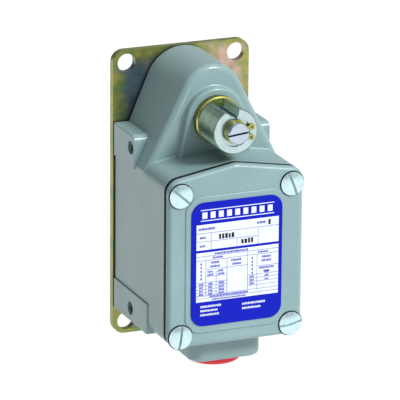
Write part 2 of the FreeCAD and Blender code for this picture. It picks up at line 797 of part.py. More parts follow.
def spindle_seal():
    """An O-ring in the journal's groove, flattened where it wipes the bushing's bore."""
    middle_r = journal_r + running_clearance / 2
    ring = Part.makeTorus(middle_r, seal_wire_r - seal_squeeze, V(0, -seal_reach, spindle_z), V(0, 1, 0))
    return ring.common(rod_y(middle_r, 0, spindle_z, seal_reach - 2 * seal_wire_r,
                             seal_reach + 2 * seal_wire_r))


def lever_sleeve():
    sleeve = rod_y(sleeve_r, 0, spindle_z, sleeve_rear, sleeve_front)
    sleeve = chamfer_where(sleeve, sleeve_chamfer, lambda b: in_plane_y(b, sleeve_front))
    cuts = [
        rod_y(sleeve_bore_r, 0, spindle_z, sleeve_rear - past, sleeve_front + past),
        rod_y(sleeve_recess_r, 0, spindle_z, sleeve_front - sleeve_recess_depth, sleeve_front + past),
        sleeve_notch(),
        key_room(stub_clearance),
    ]
    return sleeve.cut(cuts[0].fuse(cuts[1:])).removeSplitter()


def sleeve_notch():
    """The notch, with a ramp on its left and a steep wall on its right, and the saw cut below it."""
    corner = V(notch_corner[0], 0, notch_corner[1])
    beyond = [corner + (V(x, 0, z) - corner) * notch_beyond for x, z in (notch_ramp, notch_wall)]
    top = sleeve_r * notch_beyond
    outline = [corner, beyond[0], V(beyond[0].x, 0, top), V(beyond[1].x, 0, top), beyond[1]]
    place = V(0, past - sleeve_rear, spindle_z)
    wire = Part.makePolygon([p + place for p in outline + outline[:1]])
    notch = Part.Face(wire).extrude(V(0, sleeve_rear - sleeve_front - 2 * past, 0))
    saw = box(corner.x - split_w, corner.x, sleeve_rear - past, sleeve_front + past,
              spindle_z, spindle_z + corner.z + split_w)
    return notch.fuse(saw)


def drive_key():
    return key_room()


def sleeve_retaining_ring():
    """An external ring with two eyed lugs beside its right-hand gap."""
    rear, front = ring_groove_rear + ring_play, ring_groove_rear + ring_t - ring_play
    inner_r = stub_r - ring_groove_depth + ring_bite
    lugs, eyes = [], []
    for angle in map(math.radians, ring_lug_deg):
        x, z = ring_lug_at * math.cos(angle), spindle_z + ring_lug_at * math.sin(angle)
        neck = box(stub_r, ring_lug_at, rear, front, spindle_z - ring_neck_half, spindle_z + ring_neck_half)
        neck.rotate(V(0, 0, spindle_z), V(0, -1, 0), math.degrees(angle))
        lugs += [rod_y(ring_lug_r, x, z, rear, front), neck]
        eyes.append(rod_y(ring_hole_r, x, z, rear - past, front + past))
    gap = box(0, ring_outer_r + past, rear - past, front + past,
              spindle_z - ring_gap_half, spindle_z + ring_gap_half)
    gap.rotate(V(0, 0, spindle_z), V(0, -1, 0), sum(ring_lug_deg) / 2)
    bore = rod_y(inner_r, 0, spindle_z, rear - past, front + past)
    ring = rod_y(ring_outer_r, 0, spindle_z, rear, front).cut(gap).fuse(lugs)
    return ring.cut(bore.fuse(eyes)).removeSplitter()


def thrust_washer():
    return tube_y(bushing_body_r + thrust_washer_rim, journal_r + washer_gap, 0, spindle_z,
                  thrust_front - thrust_washer_t + washer_gap, thrust_front)


def spindle_circlip():
    rear, front = circlip_rear + ring_play, circlip_rear + circlip_t - ring_play
    ring = tube_y(journal_r + circlip_rim, journal_r - circlip_groove_depth + ring_bite, 0, spindle_z,
                  rear, front)
    return ring.cut(box(-ring_gap_half, ring_gap_half, rear - past, front + past,
                        spindle_z, spindle_z + journal_r + circlip_rim + past))


def involute_flank(base_r, tip_r, root_r, half_angle_at_base, steps=7):
    """Points (x, z) up one flank of a tooth that stands along +X, from its root to its tip."""
    points = [(root_r * math.cos(half_angle_at_base), root_r * math.sin(half_angle_at_base))]
    limit = math.sqrt((tip_r / base_r) ** 2 - 1)
    for i in range(steps):
        roll = limit * i / (steps - 1)
        r = base_r * math.sqrt(1 + roll ** 2)
        angle = half_angle_at_base - (roll - math.atan(roll))
        points.append((r * math.cos(angle), r * math.sin(angle)))
    return points


def drive_pinion():
    base_r = pitch_r * math.cos(math.radians(pressure_deg))
    involute = math.tan(math.radians(pressure_deg)) - math.radians(pressure_deg)
    half_at_pitch = math.pi / (2 * pinion_teeth) - tooth_backlash / 4 / pitch_r
    flank = involute_flank(base_r, pitch_r + addendum, pitch_r - dedendum, half_at_pitch + involute)
    tooth = [(x, -z) for x, z in flank] + flank[::-1]
    step = 2 * math.pi / pinion_teeth
    corners = []
    for i in range(pinion_teeth):
        # a gap between teeth faces the rack, so the teeth stand half a step away from -X
        turn = math.pi + step * (i + 0.5)
        c, s = math.cos(turn), math.sin(turn)
        corners += [V(x * c - z * s, -pinion_rear, spindle_z + x * s + z * c) for x, z in tooth]
    gear = Part.Face(Part.makePolygon(corners + corners[:1])).extrude(V(0, -pinion_width, 0))
    bore_r, flat = pinion_bore_r + fit_gap, pinion_flat + fit_gap
    bore = rod_y(bore_r, 0, spindle_z, pinion_rear - past, pinion_front + past)
    return gear.cut(bore.cut(box(flat, bore_r + past, pinion_rear - 2 * past, pinion_front + 2 * past,
                                 spindle_z - bore_r, spindle_z + bore_r)))


def pinion_clip():
    groove_rear = spindle_rear + pinion_groove_from_end
    rear, front = groove_rear + ring_play, groove_rear + clip_t - ring_play
    outer_r = pinion_bore_r + pinion_clip_rim
    ring = tube_y(outer_r, pinion_bore_r - pinion_groove_depth + ring_bite, 0, spindle_z, rear, front)
    return ring.cut(box(-outer_r - past, 0, rear - past, front + past,
                        spindle_z - ring_gap_half, spindle_z + ring_gap_half))


# ---------------------------------------------------------------- plunger group
def rack_spaces():
    """The gaps between the rack's teeth, as prisms to cut from the plunger's flat."""
    pitch = math.pi * gear_module
    lean = math.tan(math.radians(pressure_deg))
    root_x = -(pitch_r + dedendum)
    front_x = rack_tip_x + past
    half_space = pitch / 4 + tooth_backlash / 4
    half_root = half_space - dedendum * lean
    half_front = half_space + (addendum + past) * lean
    reach0, reach1 = plunger_reach - plunger_r - past, plunger_reach + plunger_r + past
    count = int(rack_half_length / pitch + 0.5)
    gaps = []
    for i in range(-count, count):
        # a tooth of the rack stands at the spindle's height, in the pinion's gap
        z = spindle_z + (i + 0.5) * pitch
        outline = [(root_x, z - half_root), (root_x, z + half_root), (front_x, z + half_front),
                   (front_x, z - half_front)]
        gaps.append(front_prism(outline, [0] * 4, reach0, reach1))
    return gaps


def rack_plunger():
    bar = rod_z(plunger_r, plunger_x, plunger_reach, carrier_top_z, plunger_top_z)
    tang = rod_z(tang_r, plunger_x, plunger_reach, carrier_top_z - tang_length, carrier_top_z)
    flat = box(rack_tip_x, plunger_x + plunger_r + past, plunger_reach - plunger_r,
               plunger_reach + plunger_r,
               spindle_z - rack_half_length, spindle_z + rack_half_length)
    pin_hole = rod_x(carrier_pin_r + fit_gap, plunger_x - plunger_r, plunger_x + plunger_r, plunger_reach,
                     pin_z)
    grooves = [tube_z(plunger_r + past, plunger_r - clip_groove_depth, plunger_x, plunger_reach, z0,
                      z0 + clip_t)
               for z0 in clip_places]
    return bar.fuse(tang).cut(flat.fuse(rack_spaces() + grooves + [pin_hole])).removeSplitter()


def plunger_clips():
    """The two open clips that back the spring washers."""
    clips = []
    for z0 in clip_places:
        z1 = z0 + clip_t
        ring = tube_z(plunger_r + clip_rim, plunger_r - clip_groove_depth + ring_bite, plunger_x,
                      plunger_reach,
                      z0 + fit_gap, z1 - fit_gap)
        mouth = box(plunger_x - clip_mouth, plunger_x + clip_mouth, plunger_reach,
                    plunger_reach + plunger_r + clip_rim + past, z0 - past, z1 + past)
        clips.append(ring.cut(mouth))
    return group(clips)


def spring_washer(z0):
    return tube_z(seat_washer_r, plunger_r + washer_gap, plunger_x, plunger_reach, z0, z0 + seat_washer_t)


def upper_spring_washer():
    return spring_washer(upper_seat_z)


def lower_spring_washer():
    return spring_washer(lower_seat_z - seat_washer_t)


def upper_return_spring():
    return coil(plunger_x, plunger_reach, upper_seat_z + seat_washer_t, upper_spring_top_z,
                spring_mean_r, spring_wire_r, spring_turns)


def lower_return_spring():
    return coil(plunger_x, plunger_reach, block_top_z, lower_seat_z - seat_washer_t,
                spring_mean_r, spring_wire_r, spring_turns)


def plunger_bushing():
    return tube_z(guide_outer_r, guide_r, plunger_x, plunger_reach, head_floor_z - plunger_guide_t,
                  head_floor_z)


# ---------------------------------------------------------------- contact block
def tongue_levels():
    """Lower faces of the upper and lower fixed strips, a tip gap away from the bridges."""
    gap = travel + tip_margin
    upper = upper_window_top_z + 2 * tip_t + gap
    lower = lower_window_bottom_z - 2 * tip_t - gap - strip_t
    return upper, lower


def contact_block():
    x, back, front = block_x, cavity_back, block_front_reach
    floor = box(x - block_half_w, x + block_half_w, back, back + block_floor_t, block_bottom_z, block_top_z)
    guide = box(x - block_channel_half_w, x + block_channel_half_w, back, front,
                block_top_z - block_bridge_t, block_top_z)
    sill = box(x - block_channel_half_w, x + block_channel_half_w, back, front,
               block_bottom_z, block_bottom_z + block_sill_t)
    pillars, cuts = [], [rod_z(guide_r, x, plunger_reach, block_top_z - block_bridge_t - past,
                               block_top_z + past)]
    for side in (-1, 1):
        x0, x1 = sorted((x + side * block_channel_half_w, x + side * block_half_w))
        pillars.append(box(x0, x1, back, front, block_bottom_z, block_top_z))
        screw_x = x + side * terminal_x
        cuts.append(rod_y(block_screw_r + block_hole_gap, screw_x, block_screw_z, back - past,
                          front + past))
        for level in tongue_levels():
            cuts.append(rod_y(terminal_screw_r + thread_clearance, screw_x, level + strip_t / 2,
                              front - terminal_tap_depth, front + past))
        # barrier grooves between the terminals of each side
        g0, g1 = sorted((x + side * (block_channel_half_w + barrier_in), x + side * (block_half_w + past)))
        for z in (block_screw_z - barrier_z, block_screw_z + barrier_z):
            cuts.append(box(g0, g1, front - barrier_depth, front + past, z - barrier_w / 2,
                            z + barrier_w / 2))
    return floor.fuse([guide, sill] + pillars).cut(cuts[0].fuse(cuts[1:])).removeSplitter()


def fixed_strip(side, level):
    """One fixed contact strip: inner tongue, riser along the pillar and terminal tab."""
    z = level + strip_t / 2
    wall = block_channel_half_w - strip_t
    front = block_front_reach + strip_t
    tongue_back, tongue_front = plunger_reach - strip_w / 2, plunger_reach + strip_w / 2

    def slab(inner, outer, reach0, reach1, half_h):
        x0, x1 = sorted((block_x + side * inner, block_x + side * outer))
        return box(x0, x1, reach0, reach1, z - half_h, z + half_h)

    tongue = slab(strip_inner_x, block_channel_half_w, tongue_back, tongue_front, strip_t / 2)
    riser = slab(wall, block_channel_half_w, tongue_back, front, strip_w / 2)
    tab = slab(wall, terminal_x + terminal_tab_half, block_front_reach, front, terminal_tab_half)
    hole = rod_y(terminal_screw_r + terminal_gap, block_x + side * terminal_x, z,
                 block_front_reach - past, front + past)
    return tongue.fuse([riser, tab]).cut(hole).removeSplitter()


def fixed_contacts(level):
    return group([fixed_strip(sx, level) for sx in (-1, 1)])


def fixed_tips(level, below):
    z0 = level - tip_t if below else level + strip_t
    return [rod_z(tip_r, block_x + sx * tip_at, plunger_reach, z0, z0 + tip_t) for sx in (-1, 1)]


def fixed_contact_tips():
    upper, lower = tongue_levels()
    return group(fixed_tips(upper, True) + fixed_tips(lower, False))


def bridge_tips(z0):
    return group([rod_z(tip_r, block_x + sx * tip_at, plunger_reach, z0, z0 + tip_t) for sx in (-1, 1)])


def upper_bridge_tips():
    return bridge_tips(upper_window_top_z)


def lower_bridge_tips():
    return bridge_tips(lower_window_bottom_z - tip_t)


def bridge(z0):
    return box(block_x - bridge_half_l, block_x + bridge_half_l, plunger_reach - bridge_w / 2,
               plunger_reach + bridge_w / 2, z0, z0 + bridge_t)


def upper_bridge():
    return bridge(upper_window_top_z - bridge_t)


def lower_bridge():
    return bridge(lower_window_bottom_z)


def contact_spring(z0, z1):
    """A spring that presses a bridge against the end of its window."""
    return coil(block_x, plunger_reach, z0, z1, contact_spring_r, contact_spring_wire_r,
                contact_spring_turns)


def upper_contact_spring():
    return contact_spring(upper_window_top_z - window_h, upper_window_top_z - bridge_t)


def lower_contact_spring():
    return contact_spring(lower_window_bottom_z + bridge_t, lower_window_bottom_z + window_h)


def contact_carrier():
    x = block_x
    half_reach = bridge_w / 2 + window_gap
    sides = (x - carrier_half_w - past, x + carrier_half_w + past)
    carrier = box(x - carrier_half_w, x + carrier_half_w, plunger_reach - carrier_half_w,
                  plunger_reach + carrier_half_w, carrier_bottom_z, carrier_top_z)
    carrier = fillet_where(carrier, carrier_edge_r, lambda b: b.ZLength > window_h)
    windows = [box(*sides, plunger_reach - half_reach, plunger_reach + half_reach, z0, z0 + window_h)
               for z0 in (upper_window_top_z - window_h, lower_window_bottom_z)]
    socket = rod_z(tang_r + tang_gap, x, plunger_reach, carrier_top_z - tang_length - block_hole_gap,
                   carrier_top_z + past)
    pin_hole = rod_x(carrier_pin_r + fit_gap, *sides, plunger_reach, pin_z)
    return carrier.cut(socket.fuse(windows + [pin_hole]))


def carrier_pin():
    return rod_x(carrier_pin_r, block_x - carrier_half_w, block_x + carrier_half_w, plunger_reach, pin_z)


def terminal_places():
    return [(block_x + sx * terminal_x, level + strip_t / 2) for level in tongue_levels() for sx in (-1, 1)]


def terminal_clamps():
    """Square clamp plates that hold the wires under the terminal screws."""
    rear = block_front_reach + strip_t
    front = rear + clamp_t
    clamps = []
    for x, z in terminal_places():
        plate = box(x - clamp_half, x + clamp_half, rear, front, z - clamp_half, z + clamp_half)
        clamps.append(plate.cut(rod_y(terminal_screw_r + terminal_gap, x, z, rear - past, front + past)))
    return group(clamps)


def terminal_screws():
    under_head = block_front_reach + strip_t + clamp_t
    screw = slotted_screw(terminal_head_r, terminal_head_t, small_dome, terminal_screw_r,
                          clamp_t + strip_t + terminal_screw_in, small_slot_w, small_slot_depth,
                          terminal_slot_deg)
    return group([moved(screw, x, under_head, z) for x, z in terminal_places()])


def block_screws():
    length = block_front_reach - housing_back - block_screw_tip
    screw = slotted_screw(block_screw_head_r, block_screw_head_t, small_dome, block_screw_r, length,
                          small_slot_w, small_slot_depth, block_slot_deg)
    return group([moved(screw, block_x + side * terminal_x, block_front_reach, block_screw_z)
                  for side in (-1, 1)])


def ground_screw():
    screw = slotted_screw(ground_head_r, ground_head_t, ground_dome, ground_screw_r,
                          ground_boss_t + clamp_t + ground_screw_in, small_slot_w, small_slot_depth,
                          ground_slot_deg)
    return moved(screw, ground_x, cavity_back + ground_boss_t + clamp_t, ground_z)


def ground_clamp():
    rear = cavity_back + ground_boss_t
    return tube_y(ground_boss_r, ground_screw_r + terminal_gap, ground_x, ground_z, rear, rear + clamp_t)


# ---------------------------------------------------------------- the nodes
def nodes():
    upper, lower = tongue_levels()
    return {
        "mounting_plate": mounting_plate(),
        "plate_gasket": plate_gasket(),
        "plate_screws": plate_screws(),
        "housing": housing(),
        "cover_gasket": cover_gasket(),
        "cover": cover(),
        "cover_screws": cover_screws(),
        "cover_screw_captive_rings": captive_rings(),
        "nameplate": nameplate(),
        "conduit_plug": conduit_plug(),
        "shaft_bushing": shaft_bushing(),
        "spindle": spindle(),
        "spindle_seal": spindle_seal(),
        "lever_sleeve": lever_sleeve(),
        "drive_key": drive_key(),
        "sleeve_retaining_ring": sleeve_retaining_ring(),
        "thrust_washer": thrust_washer(),
        "spindle_circlip": spindle_circlip(),
        "drive_pinion": drive_pinion(),
        "pinion_clip": pinion_clip(),
        "rack_plunger": rack_plunger(),
        "plunger_bushing": plunger_bushing(),
        "plunger_clips": plunger_clips(),
        "upper_spring_washer": upper_spring_washer(),
        "lower_spring_washer": lower_spring_washer(),
        "upper_return_spring": upper_return_spring(),
        "lower_return_spring": lower_return_spring(),
        "contact_block": contact_block(),
        "contact_carrier": contact_carrier(),
        "carrier_pin": carrier_pin(),
        "upper_bridge": upper_bridge(),
        "lower_bridge": lower_bridge(),
        "upper_contact_spring": upper_contact_spring(),
        "lower_contact_spring": lower_contact_spring(),
        "upper_bridge_tips": upper_bridge_tips(),
        "lower_bridge_tips": lower_bridge_tips(),
        "fixed_contact_tips": fixed_contact_tips(),
        "upper_fixed_contacts": fixed_contacts(upper),
        "lower_fixed_contacts": fixed_contacts(lower),
        "terminal_clamps": terminal_clamps(),
        "terminal_screws": terminal_screws(),
        "contact_block_screws": block_screws(),
        "ground_clamp": ground_clamp(),
        "ground_screw": ground_screw(),
    }


os.makedirs("parts", exist_ok=True)
for name, shape in nodes().items():
    shape.exportStep(f"parts/{name}.step")
    print(f"{name}: {len(shape.Solids)} solids, {shape.Volume / 1000:.2f} cm3, valid {shape.isValid()}")
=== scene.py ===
"""Rotary limit switch on its steel mounting plate: finishes, label, knurl, threads, springs and stage."""

import json
import math
import random

import bmesh
import bpy
from mathutils import Matrix, Vector


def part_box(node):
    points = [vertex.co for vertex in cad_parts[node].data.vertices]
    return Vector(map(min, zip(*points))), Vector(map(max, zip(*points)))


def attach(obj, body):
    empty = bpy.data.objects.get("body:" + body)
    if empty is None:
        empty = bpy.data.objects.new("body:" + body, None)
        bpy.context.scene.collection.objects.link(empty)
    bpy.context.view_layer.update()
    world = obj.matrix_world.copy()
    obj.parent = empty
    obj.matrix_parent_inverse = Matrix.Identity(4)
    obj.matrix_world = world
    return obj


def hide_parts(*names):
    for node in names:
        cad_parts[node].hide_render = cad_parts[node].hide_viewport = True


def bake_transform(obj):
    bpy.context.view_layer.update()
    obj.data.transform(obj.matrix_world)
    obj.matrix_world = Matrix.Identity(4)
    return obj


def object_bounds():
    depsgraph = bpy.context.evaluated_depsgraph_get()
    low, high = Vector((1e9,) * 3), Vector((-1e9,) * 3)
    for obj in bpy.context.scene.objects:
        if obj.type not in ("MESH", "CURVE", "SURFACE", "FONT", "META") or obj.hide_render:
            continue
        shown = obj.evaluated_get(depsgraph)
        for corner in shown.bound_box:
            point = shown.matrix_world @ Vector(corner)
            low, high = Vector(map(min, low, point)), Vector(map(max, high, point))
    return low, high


bl_info = {
    "name": "Rotary Limit Switch",
    "version": (1, 0, 0),
    "blender": (4, 5, 0),
    "location": "View3D > Sidebar > Limit Switch",
    "description": "Finishes, label, knurl, threads and stage for a rotary limit switch",
    "category": "Add Mesh",
}

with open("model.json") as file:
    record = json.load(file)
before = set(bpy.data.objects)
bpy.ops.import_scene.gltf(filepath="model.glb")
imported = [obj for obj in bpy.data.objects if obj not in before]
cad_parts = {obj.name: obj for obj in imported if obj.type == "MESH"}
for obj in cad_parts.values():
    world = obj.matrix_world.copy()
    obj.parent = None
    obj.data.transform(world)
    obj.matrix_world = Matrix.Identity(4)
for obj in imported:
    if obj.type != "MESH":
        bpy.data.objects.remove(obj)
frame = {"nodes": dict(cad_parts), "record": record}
NODES = frame["nodes"]
CAD_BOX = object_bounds()
MM = 0.001

# These repeat sizes of the parts that the frame doesn't give, so a change there is made here too.
SCREW_HEAD_R = 7.3 * MM
SCREW_DOME = 1.1 * MM           # depth of the domed part of a cover screw's head
PANEL_RISE = 0.7 * MM           # raised panel of the cover
SLEEVE_CHAMFER = 0.7 * MM
SIDE_THREAD = {"major": 4.22 * MM, "minor": 3.7 * MM, "pitch": 1.5 * MM, "turns": 6.0}
ENTRY_THREAD = {"major": 12.33 * MM, "minor": 11.4 * MM, "pitch": 1.8 * MM, "turns": 7.0, "steps": 48}

# These belong to the finishes and the added pieces alone.
SHADOW_RING_INNER_R = 7.32 * MM        # painted shadow: a dark ring around each cover screw, where its head meets the cover
SHADOW_RING_OUTER_R = 7.8 * MM
SHADOW_RING_HALF_T = 0.15 * MM
SIDE_THREAD_IN = 0.7 * MM       # the first turn lies this far inside the casting
ENTRY_THREAD_UP = 0.6 * MM      # the first turn lies this far above the plug
THREAD_PROFILE = (0.06, 0.42, 0.58, 0.94)   # foot, crest, crest and foot, in shares of the pitch
THREAD_RUN_OUT = 0.05           # height left at a thread's ends, as a share of the full height
BUSHING_RIM = 0.75 * MM         # width of the painted highlight on the bushing's front chamfer
STUB_SLOT_REACH = 6.3 * MM      # the painted shade in the spindle's slot ends here, just inside the stub's side
STUB_SLOT_SKIN = 0.55 * MM      # the slot's painted shade starts this far behind the stub's face, which takes in its chamfer
STUB_SLOT_FADE = 0.25 * MM
FINE_RINGS = 0.0003             # pitch of the rings that a lathe tool leaves
SLEEVE_RINGS = 0.00035
PLAIN_LAND = 0.13               # angle left plain beside the notch's ramp, in radians
COLUMN_SHARE = 0.93             # fewer columns than a square grid has, so diamonds are wider than high
MERGE = 0.0000005               # corners nearer than this are one


# ---------------------------------------------------------------- settings
def colour(label, about, default):
    return bpy.props.FloatVectorProperty(name=label, description=about, default=default, subtype="COLOR",
                                         size=3, min=0.0, max=1.0)


def length(label, about, default):
    return bpy.props.FloatProperty(name=label, description=about, default=default, min=0.0, unit="LENGTH",
                                   precision=5)


def spot(label, about, default):
    return bpy.props.FloatVectorProperty(name=label, description=about, default=default, size=2,
                                         unit="LENGTH", precision=5)


class EnamelSettings(bpy.types.PropertyGroup):
    """Paint on the castings."""

    body: colour("Body", "Blue-grey enamel on the housing", (0.235, 0.355, 0.365))
    cover: colour("Cover", "Enamel on the cover", (0.235, 0.365, 0.385))
    gloss: bpy.props.FloatProperty(name="Roughness", description="Roughness of the enamel", default=0.34,
                                   min=0.0, max=1.0, subtype="FACTOR")
    peel: length("Orange peel", "Width of the paint's ripples", 0.0016)


class PlatingSettings(bpy.types.PropertyGroup):
    """Plated steel."""

    gold: colour("Gold", "Yellow of the chromate film", (0.42, 0.39, 0.10))
    green: colour("Green", "Green of the chromate film", (0.20, 0.30, 0.10))
    violet: colour("Violet", "Violet bloom of the chromate film", (0.13, 0.19, 0.25))
    rose: colour("Rose", "Rose bloom of the chromate film", (0.68, 0.48, 0.40))
    zinc: colour("Zinc", "Clear zinc on screws and sleeve", (0.55, 0.74, 0.78))
    stub: colour("Stub", "Ground end of the spindle", (0.55, 0.63, 0.74))
    # the olive is the chromate's tint on the bushing's side, made darker than its face as painted shade
    olive: colour("Olive", "Thick chromate film on the bushing", (0.20, 0.21, 0.06))
    sleeve: colour("Sleeve", "Clear zinc on the faces of the sleeve", (0.56, 0.70, 0.70))
    # a darker green than the sleeve's faces, given to the knurl
    knurl: colour("Knurl", "Green bloom on the knurl", (0.27, 0.39, 0.30))


class SleeveSettings(bpy.types.PropertyGroup):
    """Knurl on the lever sleeve."""

    pitch: length("Pitch", "Width of one diamond of the knurl", 0.0008)
    depth: length("Depth", "Depth of the knurl's grooves", 0.00022)
    outer: length("Radius", "Outer radius of the sleeve", 0.014)
    bore: length("Bore", "Radius of the sleeve's bore", 0.0065)
    recess: length("Recess", "Radius of the recess for the retaining ring", 0.0094)
    recess_depth: length("Recess depth", "Depth of that recess", 0.0014)
    ramp: spot("Ramp", "Where the notch's ramp leaves the sleeve", (-0.0066, 0.0123))
    corner: spot("Corner", "Bottom of the notch", (0.0015, 0.0074))
    wall: spot("Wall", "Where the notch's steep wall leaves the sleeve", (0.0026, 0.0140))
    saw: length("Saw cut", "Width of the saw cut under the notch", 0.0009)


class LabelSettings(bpy.types.PropertyGroup):
    """Printed nameplate."""

    blue: colour("Blue", "Blue ground of the label", (0.001, 0.008, 0.45))
    white: colour("White", "White panels of the label", (0.74, 0.80, 0.88))
    black: colour("Black", "Stamped characters", (0.012, 0.012, 0.016))
    ink: length("Ink", "Thickness of the printed ink", 0.00004)
    ticks: bpy.props.IntProperty(name="Ticks", description="Plain bars in the band at the top",
                                 default=9, min=1)


class StageSettings(bpy.types.PropertyGroup):
    """Camera, lights and floor."""

    azimuth: bpy.props.FloatProperty(name="Azimuth", description="How far the camera stands to the left",
                                     default=0.39676, subtype="ANGLE")
    elevation: bpy.props.FloatProperty(name="Elevation", description="How far the camera looks down",
                                       default=0.310068, subtype="ANGLE")
    roll: bpy.props.FloatProperty(name="Roll", description="Turn of the camera about its own axis",
                                  default=0.0079607, subtype="ANGLE")
    distance: length("Distance", "From the camera to the plate's front", 2.4249)
    across: length("Across", "Camera's place to its right of the line to the plate", 0.011864)
    up: bpy.props.FloatProperty(name="Up", description="Camera's place above that line", default=-0.008199,
                                unit="LENGTH")
    lens: bpy.props.FloatProperty(name="Lens", description="Focal length on a 36 mm sensor", default=356.8,
                                  min=1.0)
    floor: length("Floor", "Half the width of the floor", 9.0)
    drop: length("Drop", "From the switch down to the floor, with room to draw the plug out", 0.12)
    dim: bpy.props.FloatProperty(name="Left", description="Brightness of the surroundings at the left",
                                 default=0.05, min=0.0)
    bright: bpy.props.FloatProperty(name="Right", description="Brightness of the surroundings at the right",
                                    default=0.52, min=0.0)
    zenith: bpy.props.FloatProperty(name="Zenith", description="Extra brightness straight above",
                                    default=0.6, min=0.0)
    key: bpy.props.FloatProperty(name="Key", description="Strength of the key light", default=3.05, min=0.0)
    spread: bpy.props.FloatProperty(name="Spread", description="Width of the key light", default=0.30,
                                    subtype="ANGLE")
    key_turn: bpy.props.FloatProperty(name="Key turn", description="How far the key stands to the right",
                                      default=0.58, subtype="ANGLE")
    key_height: bpy.props.FloatProperty(name="Key height", description="How high the key stands",
                                        default=0.75, subtype="ANGLE")


# ---------------------------------------------------------------- finishes
class Finish:
    """One procedural material: a Principled shader and the nodes that feed it."""

    def __init__(self, name, **constants):
        self.material = bpy.data.materials.new(name)
        self.material.use_nodes = True
        self.tree = self.material.node_tree
        self.shader = self.tree.nodes["Principled BSDF"]
        for socket, value in constants.items():
            self.shader.inputs[socket.replace("_", " ")].default_value = value
        self.place = self.add("ShaderNodeTexCoord").outputs["Object"]

    def add(self, kind, inputs=(), **settings):
        node = self.tree.nodes.new(kind)
        for key, value in settings.items():
            setattr(node, key, value)
        for socket, value in dict(inputs).items():
            self.feed(node.inputs[socket], value)
        return node

    def feed(self, socket, value):
        if isinstance(value, bpy.types.NodeSocket):
            self.tree.links.new(value, socket)
        else:
            socket.default_value = value

    def stretched(self, x, y, z):
        """Object coordinates, scaled so that a pattern is longer along an axis with a small number."""
        return self.add("ShaderNodeMapping", {"Vector": self.place, "Scale": (x, y, z)}).outputs[0]

    def noise(self, size, detail=2.0, rough=0.5, place=None, warp=0.0):
        """Soft noise whose blobs are about size wide."""
        inputs = {"Vector": place or self.place, "Scale": 1 / size, "Detail": detail, "Roughness": rough,
                  "Distortion": warp}
        node = self.add("ShaderNodeTexNoise", inputs)
        return node.outputs["Fac"]

    def cells(self, size):
        return self.add("ShaderNodeTexVoronoi", {"Vector": self.place, "Scale": 1 / size}).outputs["Distance"]

    def ramp(self, fac, *stops):
        """A colour ramp through (position, colour) stops."""
        node = self.add("ShaderNodeValToRGB", {"Fac": fac})
        elements = node.color_ramp.elements
        while len(elements) < len(stops):
            elements.new(1.0)
        for element, (position, tone) in zip(elements, stops):
            element.position = position
            element.color = (*tone, 1.0)
        return node.outputs["Color"]

    def spread(self, fac, low, high, to_low=0.0, to_high=1.0):
        """Maps low..high of a value to a new range."""
        node = self.add("ShaderNodeMapRange", {"Value": fac, "From Min": low, "From Max": high,
                                               "To Min": to_low, "To Max": to_high})
        return node.outputs["Result"]

    def mix(self, fac, a, b, blend="MIX"):
        node = self.add("ShaderNodeMix", data_type="RGBA", blend_type=blend)
        for socket, value in ((0, fac), (6, a), (7, b)):
            self.feed(node.inputs[socket], (*value, 1.0) if isinstance(value, tuple) else value)
        return node.outputs[2]

    def maths(self, operation, a, b=0.0):
        node = self.add("ShaderNodeMath", operation=operation)
        self.feed(node.inputs[0], a)
        self.feed(node.inputs[1], b)
        return node.outputs[0]

    def axis(self, letter):
        return self.add("ShaderNodeSeparateXYZ", {"Vector": self.place}).outputs[letter]

    def radius_from(self, x, z):
        """Distance from an axis along Y."""
        flat = self.stretched(1, 0, 1)
        node = self.add("ShaderNodeVectorMath", {0: flat, 1: (x, 0, z)}, operation="DISTANCE")
        return node.outputs["Value"]

    def bump(self, height, distance, strength=1.0, normal=None):
        node = self.add("ShaderNodeBump", {"Height": height, "Distance": distance, "Strength": strength})
        if normal is not None:
            self.feed(node.inputs["Normal"], normal)
        return node.outputs["Normal"]

    def done(self, base, roughness, normal):
        for socket, value in (("Base Color", base), ("Roughness", roughness), ("Normal", normal)):
            self.feed(self.shader.inputs[socket], value)
        return self.material


def shade(base, factor):
    return tuple(min(1.0, c * factor) for c in base)


def enamel(name, base, gloss, peel):
    """Semi-gloss stoving enamel over a cast surface: clouds, dust nibs, orange peel and casting texture."""
    f = Finish(name, Coat_Weight=0.2, Coat_Roughness=0.12, Specular_IOR_Level=0.4)
    clouds = f.noise(0.045, 3.0)
    tint = f.ramp(clouds, (0.3, shade(base, 0.93)), (0.7, shade(base, 1.06)))
    nibs = f.spread(f.noise(0.0011, 1.0), 0.70, 0.80)
    tint = f.mix(f.maths("MULTIPLY", nibs, 0.25), tint, shade(base, 0.7))
    peeled = f.bump(f.noise(peel, 1.5), 0.00006, 0.35)
    cast = f.bump(f.noise(0.00045, 2.0), 0.00002, 0.25, peeled)
    waves = f.bump(f.noise(0.009, 1.0), 0.0004, 0.12, cast)
    rough = f.spread(f.noise(0.012, 3.0), 0.3, 0.7, gloss - 0.05, gloss + 0.06)
    return f.done(tint, rough, waves)


